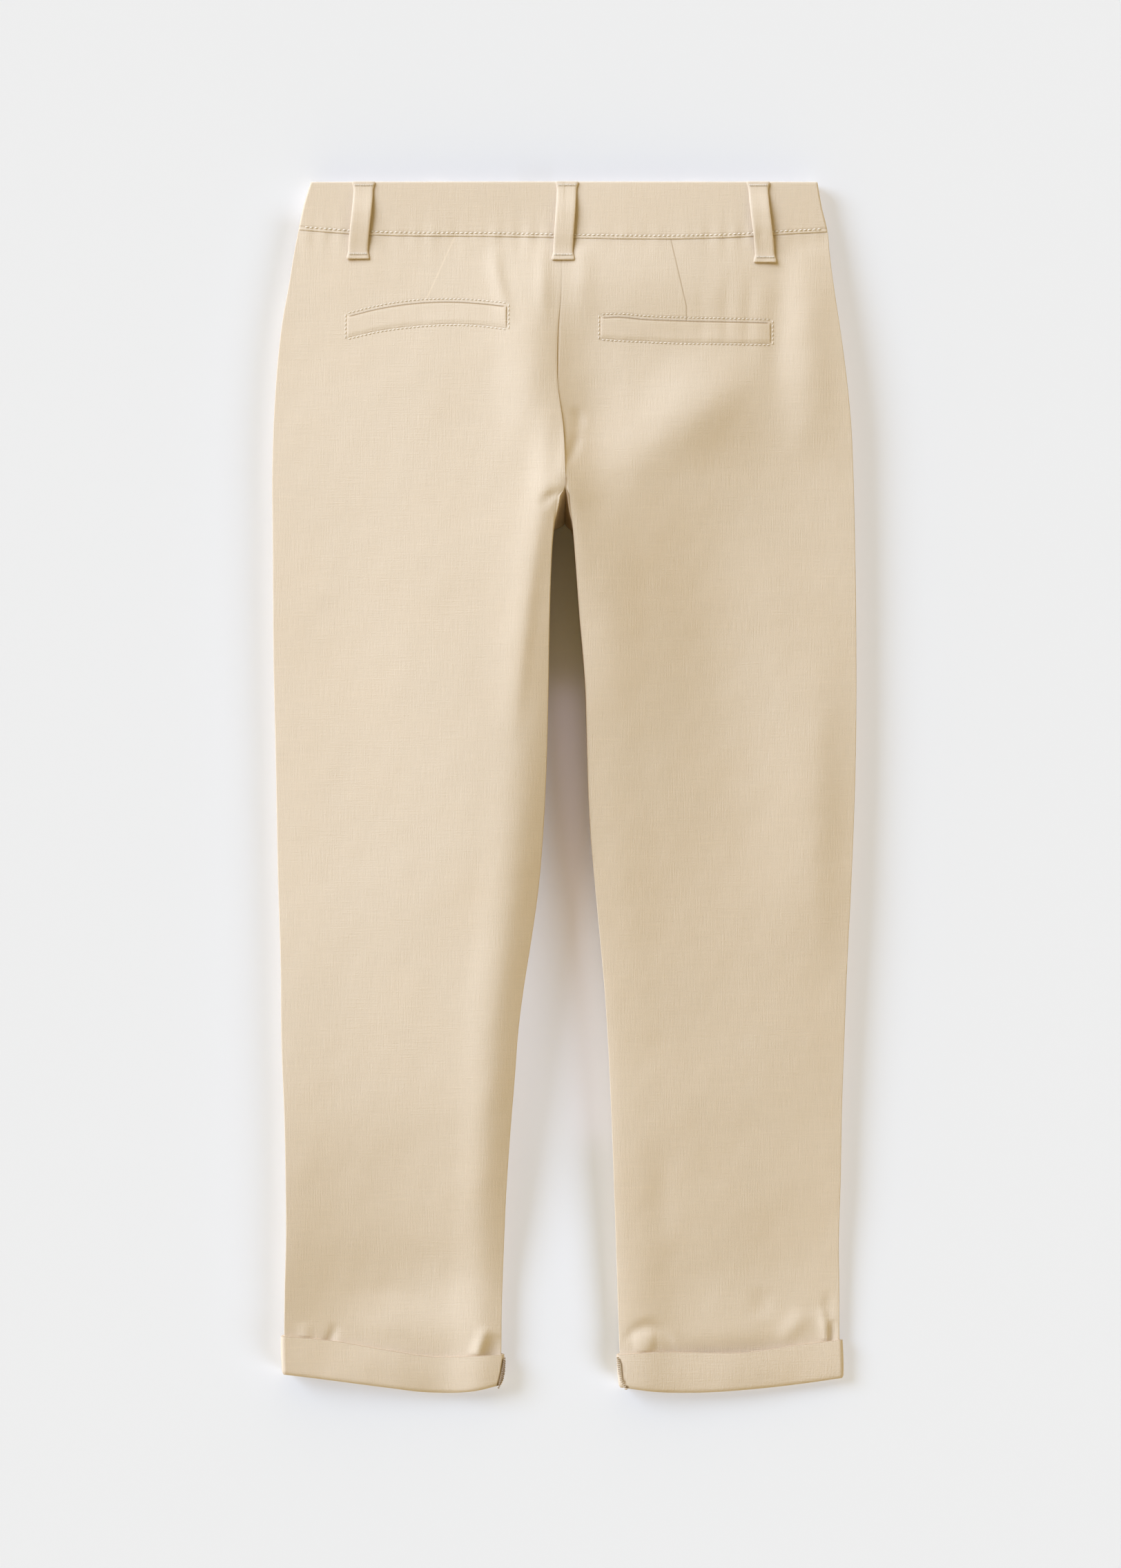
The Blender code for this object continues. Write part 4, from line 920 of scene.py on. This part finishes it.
def frontLoop(name, topX, endX, endDown):
    x, down, free, wear = loopPlaces(topX, endX, endDown)[:4]
    top = underneath["rest"][0] - wall["seamGap"]
    top = top - (top - wall["loop"]) * free
    outer = points(x, down, top - wall["loop"])
    piece = addWall(name, outer, points(x, down, top), trimTwill, 0.45, x, down, 0 * wear, wear)
    return settled(piece, name)


# bar tack: close threads side by side across a strip, from one row of its grid to another
def barTack(outer, firstRow, lastRow, count, seed):
    random = np.random.default_rng(seed)
    columns = outer.shape[1]
    place = np.linspace(1.5, columns - 2.5, count) + random.normal(0, 0.1, count)
    cells = np.arange(columns)
    starts = np.stack([np.interp(place, cells, outer[firstRow, :, k]) for k in range(3)], axis=-1)
    ends = np.stack([np.interp(place + 0.4, cells, outer[lastRow, :, k]) for k in range(3)], axis=-1)
    lift = np.array([0, 0, 0.16])
    ups = np.tile([0.0, 0.0, 1.0], (count, 1))
    return starts + lift, ends + lift, ups


backLoops = []
tacks = []
for number, (name, (topX, endX, endDown)) in enumerate(loops["back"].items()):
    piece, outer = backLoop(name, topX, endX, endDown)
    backLoops.append(piece)
    tacks.append(barTack(outer, 2, 4, 19, 40 + number))
    tacks.append(barTack(outer, loops["rows"] - 5, loops["rows"] - 3, 20, 50 + number))
frontLoops = [frontLoop(name, *places) for name, places in loops["front"].items()]
loopTacks = addStitches("loop_tacks", *(np.concatenate(part) for part in zip(*tacks)), 0.25, tackThread, 0.1)
settled(loopTacks)
print("belt loops made")

# Pocket welts
weltGrid = {"rows": 22, "columns": 130, "threadRadius": 0.34}
weltRow = {"height": seatHeight, "pitch": 2.95, "length": 2.1, "clear": 0.12}


def weltPiece(name):
    table = welts[name]
    x, share = np.meshgrid(np.linspace(table["x"][0], table["x"][-1], weltGrid["columns"] + 1),
                           np.linspace(0, 1, weltGrid["rows"] + 1))
    top = across(table, "top", x)
    down = top + share * (across(table, "bottom", x) - top)
    surface = points(x, down, seatHeight(x, down))
    normal = gridNormals(surface, True)
    tucked = 0.40 * bell(1 - share, 0.10) + 0.2 * bell(share, 0.05)
    outer = surface + (wall["welt"] - tucked + 0.03 * unevenness(x, down, 61, 16))[..., None] * normal
    inner = surface + 0.05 * normal
    # painted shade: a dark line in the pocket opening along the welt's top
    seam = 3.6 * bell(share, 0.045) * ease(np.minimum(x - x[:, :1], x[:, -1:] - x) / 3)
    wear = np.clip(bell(share - 0.14, 0.06) * 0.4 + bell(1 - share, 0.06) * 0.6, 0, 1)
    return settled(addWall(name, outer, inner, trimTwill, 0.1, x, down, seam, wear), name)


weltLeft = weltPiece("welt_left")
weltRight = weltPiece("welt_right")
rows = []
for number, (name, table) in enumerate(welts.items()):
    first, last = table["x"][0], table["x"][-1]
    lineX = np.linspace(first, last, 120)
    above, below = weltRows(table, lineX)
    rows.append(stitchRow(lineX, above, seed=70 + number, **weltRow))
    rows.append(stitchRow(lineX, below, seed=80 + number, **weltRow))
    for end, outX in ((0, first - weltMargin["left"]), (-1, last + weltMargin["right"])):
        lineDown = np.linspace(above[end] + 0.2, below[end], 20)
        rows.append(stitchRow(0 * lineDown + outX, lineDown, seed=90 + number, **weltRow))
rows = (np.concatenate(part) for part in zip(*rows))
weltStitches = addStitches("welt_stitches", *rows, weltGrid["threadRadius"], seamThread)
settled(weltStitches)
print("pocket welts made")

# Cuffs
cuff = {"topSteps": 90, "rollSteps": 12, "underSteps": 60, "lip": 4.4, "foldWall": 1.2, "foldLength": 3.4,
        "faceStart": 1.2, "threadPitch": 1.25, "threadRadius": 0.68}


# a closed line round one leg: the columns of its upper face, then places across below
def legRing():
    columns = panelColumns(cuff["rollSteps"], cuff["topSteps"])
    below = np.linspace(1, 0, cuff["underSteps"] + 1)
    count = len(columns[0])
    padded = [np.concatenate([column, 1 + 0 * below]) for column in columns]
    return padded, np.concatenate([np.zeros(count), below]), np.arange(count + len(below)) < count


# the cuff: its section, from the top edge down the face and round the fold, carried round the leg. Gives back
# the rows of its face beside the inner fold too.
def cuffPiece(side, name):
    columns, below, above = legRing()

    def ringAt(down):
        topX, topZ = backFace(side, down, columns, False)
        outer, inner = edges(side, down)
        lowX = outer + (inner - outer) * below
        return np.where(above, topX, lowX), np.where(above, topZ, lowerHeight(side, lowX, down))

    nominal = ringAt(np.full(above.shape, 850.0))[0]
    top = across(cuffLines[side], "top", nominal)
    bottom = across(cuffLines[side], "bottom", nominal)
    clear = wall["cuffClear"]
    proud = clear + wall["cuff"]
    fold = (proud + cuff["foldWall"]) / 2
    section = [(clear, 0.6, "edge"), (clear + 0.25, 0.2, "edge"), (clear + 0.9, 0.0, "edge"),
               (proud - 0.2, 0.01, "edge"), (proud - 0.04, 0.12, "edge"), (proud, 0.35, "edge"),
               (proud, 0.9, "edge")]
    section += [(proud + 0.25 * math.sin(math.pi * s), s, "face") for s in np.linspace(0.04, 0.92, 22)]
    section += [(proud - fold + fold * math.cos(a), cuff["foldLength"] * (1 - math.sin(a)), "end")
                for a in np.linspace(0.12, math.pi, 13)]
    section += [(-cuff["foldWall"], cuff["lip"], "end"), (clear, cuff["lip"], "end")]
    faceTop = top + cuff["faceStart"]
    faceRun = bottom - cuff["foldLength"] - faceTop
    grid = []
    for out, distance, kind in section:
        down = {"edge": top + distance, "face": faceTop + faceRun * distance, "end": bottom - distance}[kind]
        ring = np.stack(ringAt(down), axis=-1)
        ahead = np.roll(ring, -1, axis=0) - np.roll(ring, 1, axis=0)
        outward = np.stack([-ahead[:, 1], ahead[:, 0]], axis=-1) * -side
        outward = outward / np.linalg.norm(outward, axis=-1, keepdims=True)
        ring = ring + out * outward
        grid.append(points(ring[:, 0], down, ring[:, 1]))
    grid = np.array(grid)
    index = np.arange(grid.shape[0] * grid.shape[1]).reshape(grid.shape[:2])
    ahead = np.roll(index, -1, axis=0)
    faces = np.stack([index, ahead, np.roll(ahead, -1, axis=1), np.roll(index, -1, axis=1)], axis=-1)
    down = totalLength / 2 - grid[..., 1]
    uv = np.stack([runLength(grid, 1), down], axis=-1)
    opening = overlocked[side]
    # painted shade: a dark line in the slit between the seam allowance and the cuff's face
    slit = 4.0 * bell(grid[..., 0] - along(opening, "slit", down), 0.5) * above
    slit = slit * ease((down - opening["down"][0]) / 2)
    # painted shade along the rows of the cuff's top edge
    slit[2:6] += 1.0
    piece = addPiece(name, grid.reshape(-1, 3), faces.reshape(-1, 4), uv.reshape(-1, 2), cuffTwill,
                     wear=0 * slit, seam=slit)
    lastOnTop = int(np.argmax(columns[2] < 1)) - 1
    return settled(piece, name), grid[11:25, lastOnTop]


# the overlocked seam allowance that shows at the inseam end of a cuff: threads side by side over its edge
def overlock(side, name, crest):
    opening = overlocked[side]
    random = np.random.default_rng(120 + side)
    count = int((opening["down"][-1] - opening["down"][0]) / cuff["threadPitch"])
    down = np.linspace(opening["down"][0], opening["down"][-1], count) + random.normal(0, 0.06, count)
    out = along(opening, "out", down) - side * random.uniform(0, 0.25, count)
    top = np.interp(down, totalLength / 2 - crest[:, 1], crest[:, 2])
    starts = points(out, down + 0.2, top - 1.2)
    ends = points(along(opening, "slit", down) - side * 0.5, down - 0.2, top - 0.25)
    ups = np.tile([0.0, 0.0, 1.0], (count, 1))
    material = sewingThread(opening["thread"], opening["colour"])
    return settled(addStitches(name, starts, ends, ups, cuff["threadRadius"], material, 0.35))


# where the seam allowance shows: its outer edge and the slit between it and the cuff's face
overlocked = {
    -1: {"down": [851.2, 856, 862, 867, 872.6], "out": [-43.0, -42.8, -43.2, -44.4, -47.6],
         "slit": [-44.2, -45.0, -46.2, -47.2, -48.6],
         "thread": "overlockShaded", "colour": (0.36, 0.25, 0.15, 1)},
    1: {"down": [850.4, 856.5, 862.5, 868, 873.2], "out": [37.7, 38.2, 39.2, 40.8, 43.6],
        "slit": [39.7, 41.7, 42.2, 43.2, 46.4],
        "thread": "overlockLit", "colour": (0.66, 0.53, 0.38, 1)},
}
cuffLeft, crest = cuffPiece(-1, "cuff_left")
overlockLeft = overlock(-1, "cuff_left_overlock", crest)
cuffRight, crest = cuffPiece(1, "cuff_right")
overlockRight = overlock(1, "cuff_right_overlock", crest)
print("cuffs made")

# Button: the carried-over solid with its own finish
def hornMaterial():
    field, finish = newMaterial("buttonHorn", {"Coat Roughness": 0.25})
    place = field.node("TexCoord", None, None, "Object")
    drawn = place.vector("MULTIPLY", (1.0, 0.3, 1.0))
    cloud = field.noise(drawn, 0.004, 4, 0.6)
    fine = field.noise(place, 0.0006, 3)
    colour = field.mixed(cloud * 1.6 + 0.5, (0.16, 0.095, 0.05, 1), (0.46, 0.33, 0.20, 1))
    normal = field.node("Bump", None, {"Height": fine, "Distance": 0.00005, "Strength": 0.4})
    return finish({"Base Color": colour, "Roughness": fine * 0.2 + 0.38, "Normal": normal,
                   "Coat Weight": cloud * 0.2 + 0.3})


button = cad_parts["fly_button"]
button.data.materials.clear()
button.data.materials.append(hornMaterial())

# Sheets: a list of the stitches and the back loops, which is not kept
[bandStitches, loopTacks] + backLoops

# Floor, light and camera
studio = {
    "floor": (0.90, 0.90, 0.90), "floorReach": 15.0, "floorDrop": 0.0003, "backdrop": (0.86, 0.86, 0.86),
    "fill": (0.489, 0.394, 0.194), "horizon": 1.8, "fade": 2.5,
    "cameraHeight": 5.0, "focusHeight": 0.012, "frameHeight": 1.136, "x": -0.00275, "y": 0.0028,
}
# suns: what each lights, what casts its shadows, colour, power, azimuth, height and softness in degrees
suns = {
    "key": ("cloth", "all", (0.615, 0.738, 1.0), 5.1, 137.0, 28.0, 45.0),
    "window": ("floor", "all", (0.569, 0.722, 1.0), 1.75, 152.0, 35.0, 32.0),
    "roomNear": ("floor", "right", (0.645, 0.751, 1.0), 1.15, -34.0, 38.0, 32.0),
    "roomFar": ("floor", "left", (0.645, 0.751, 1.0), 1.10, -34.0, 38.0, 32.0),
}


# the strip between the legs: x, down and height of its middle, its size, its turn in degrees and its light
gapLight = {"place": (9.0, 530.0, 17.0), "width": 14.0, "length": 330.0, "turn": 3.2,
            "colour": (0.84, 0.74, 1.0), "power": 0.0052}


def addFloor():
    half = studio["floorReach"]
    mesh = bpy.data.meshes.new("floor")
    places = [(x * half, y * half, -studio["floorDrop"]) for x, y in ((-1, -1), (1, -1), (1, 1), (-1, 1))]
    mesh.from_pydata(places, [], [(0, 1, 2, 3)])
    floor = bpy.data.objects.new("floor", mesh)
    bpy.context.scene.collection.objects.link(floor)
    field, finish = newMaterial("paleFloor", {"Specular IOR Level": 0.0, "Roughness": 1.0})
    place = field.node("TexCoord", None, None, "Object")
    white = field.node("CombineXYZ", None, dict(enumerate(studio["floor"])))
    tone = white.vector("SCALE", Scale=field.noise(place, 0.6) * 0.01 + 1.0)
    mesh.materials.append(finish({"Base Color": tone}))
    return floor


# soft suns, each lighting only the cloth or only the floor, with shadows cast by all or by the right half
def addSuns(groups):
    for name, (lit, casting, colour, power, azimuth, height, softness) in suns.items():
        sun = bpy.data.lights.new(name, "SUN")
        sun.color = colour
        sun.energy = power
        sun.angle = math.radians(softness)
        lamp = bpy.data.objects.new(name, sun)
        lamp.rotation_euler = (0, math.radians(90 - height), math.radians(azimuth))
        bpy.context.scene.collection.objects.link(lamp)
        lamp.light_linking.receiver_collection = groups[lit]
        if casting != "all":
            lamp.light_linking.blocker_collection = groups[casting]


# faint light on the floor alone, from a strip low between the legs
def addGapLight(groups):
    strip = bpy.data.lights.new("gapLight", "AREA")
    strip.shape = "RECTANGLE"
    strip.size = gapLight["width"] * mm
    strip.size_y = gapLight["length"] * mm
    strip.color = gapLight["colour"]
    strip.energy = gapLight["power"]
    lamp = bpy.data.objects.new("gapLight", strip)
    lamp.location = points(*gapLight["place"]) * mm
    lamp.rotation_euler = (0, 0, math.radians(gapLight["turn"]))
    bpy.context.scene.collection.objects.link(lamp)
    lamp.light_linking.receiver_collection = groups["floor"]
    lamp.light_linking.blocker_collection = groups["floor"]


def group(name, members):
    made = bpy.data.collections.new(name)
    for each in members:
        made.objects.link(each)
    return made


# warm fill all round, horizon * (1 - z^fade), so none from straight above; what is seen behind the floor is
# plain and pale
def addWorld():
    world = bpy.data.worlds.new("studio")
    bpy.context.scene.world = world
    world.use_nodes = True
    tree = world.node_tree
    field = Field(tree)
    heading = field.node("SeparateXYZ", None, {0: field.node("TexCoord", None, None, "Generated")}, "Z")
    strength = (1.0 - heading.math("MAXIMUM", heading, 0.0) ** studio["fade"]) * studio["horizon"]
    fill = field.node("CombineXYZ", None, dict(enumerate(studio["fill"]))).vector("SCALE", Scale=strength)
    seen = field.node("LightPath", None, None, "Is Camera Ray")
    background = tree.nodes["Background"]
    tree.links.new(field.mixed(seen, fill, (*studio["backdrop"], 1)).socket, background.inputs["Color"])


def addCamera():
    lens = bpy.data.cameras.new("camera")
    lens.lens = lens.sensor_width * (studio["cameraHeight"] - studio["focusHeight"]) / studio["frameHeight"]
    camera = bpy.data.objects.new("camera", lens)
    camera.location = (studio["x"], studio["y"], studio["cameraHeight"])
    bpy.context.scene.collection.objects.link(camera)
    bpy.context.scene.camera = camera


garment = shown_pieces()
floor = addFloor()
groups = {"cloth": group("cloth", garment), "floor": group("floor", [floor]),
          "left": group("left", [backLeft, frontLeft, cuffLeft, backRight]),
          "right": group("right", [backRight, frontRight, cuffRight])}
addSuns(groups)
addGapLight(groups)
addWorld()
addCamera()
bpy.context.scene.view_settings.view_transform = "Standard"
print("floor, light and camera made")
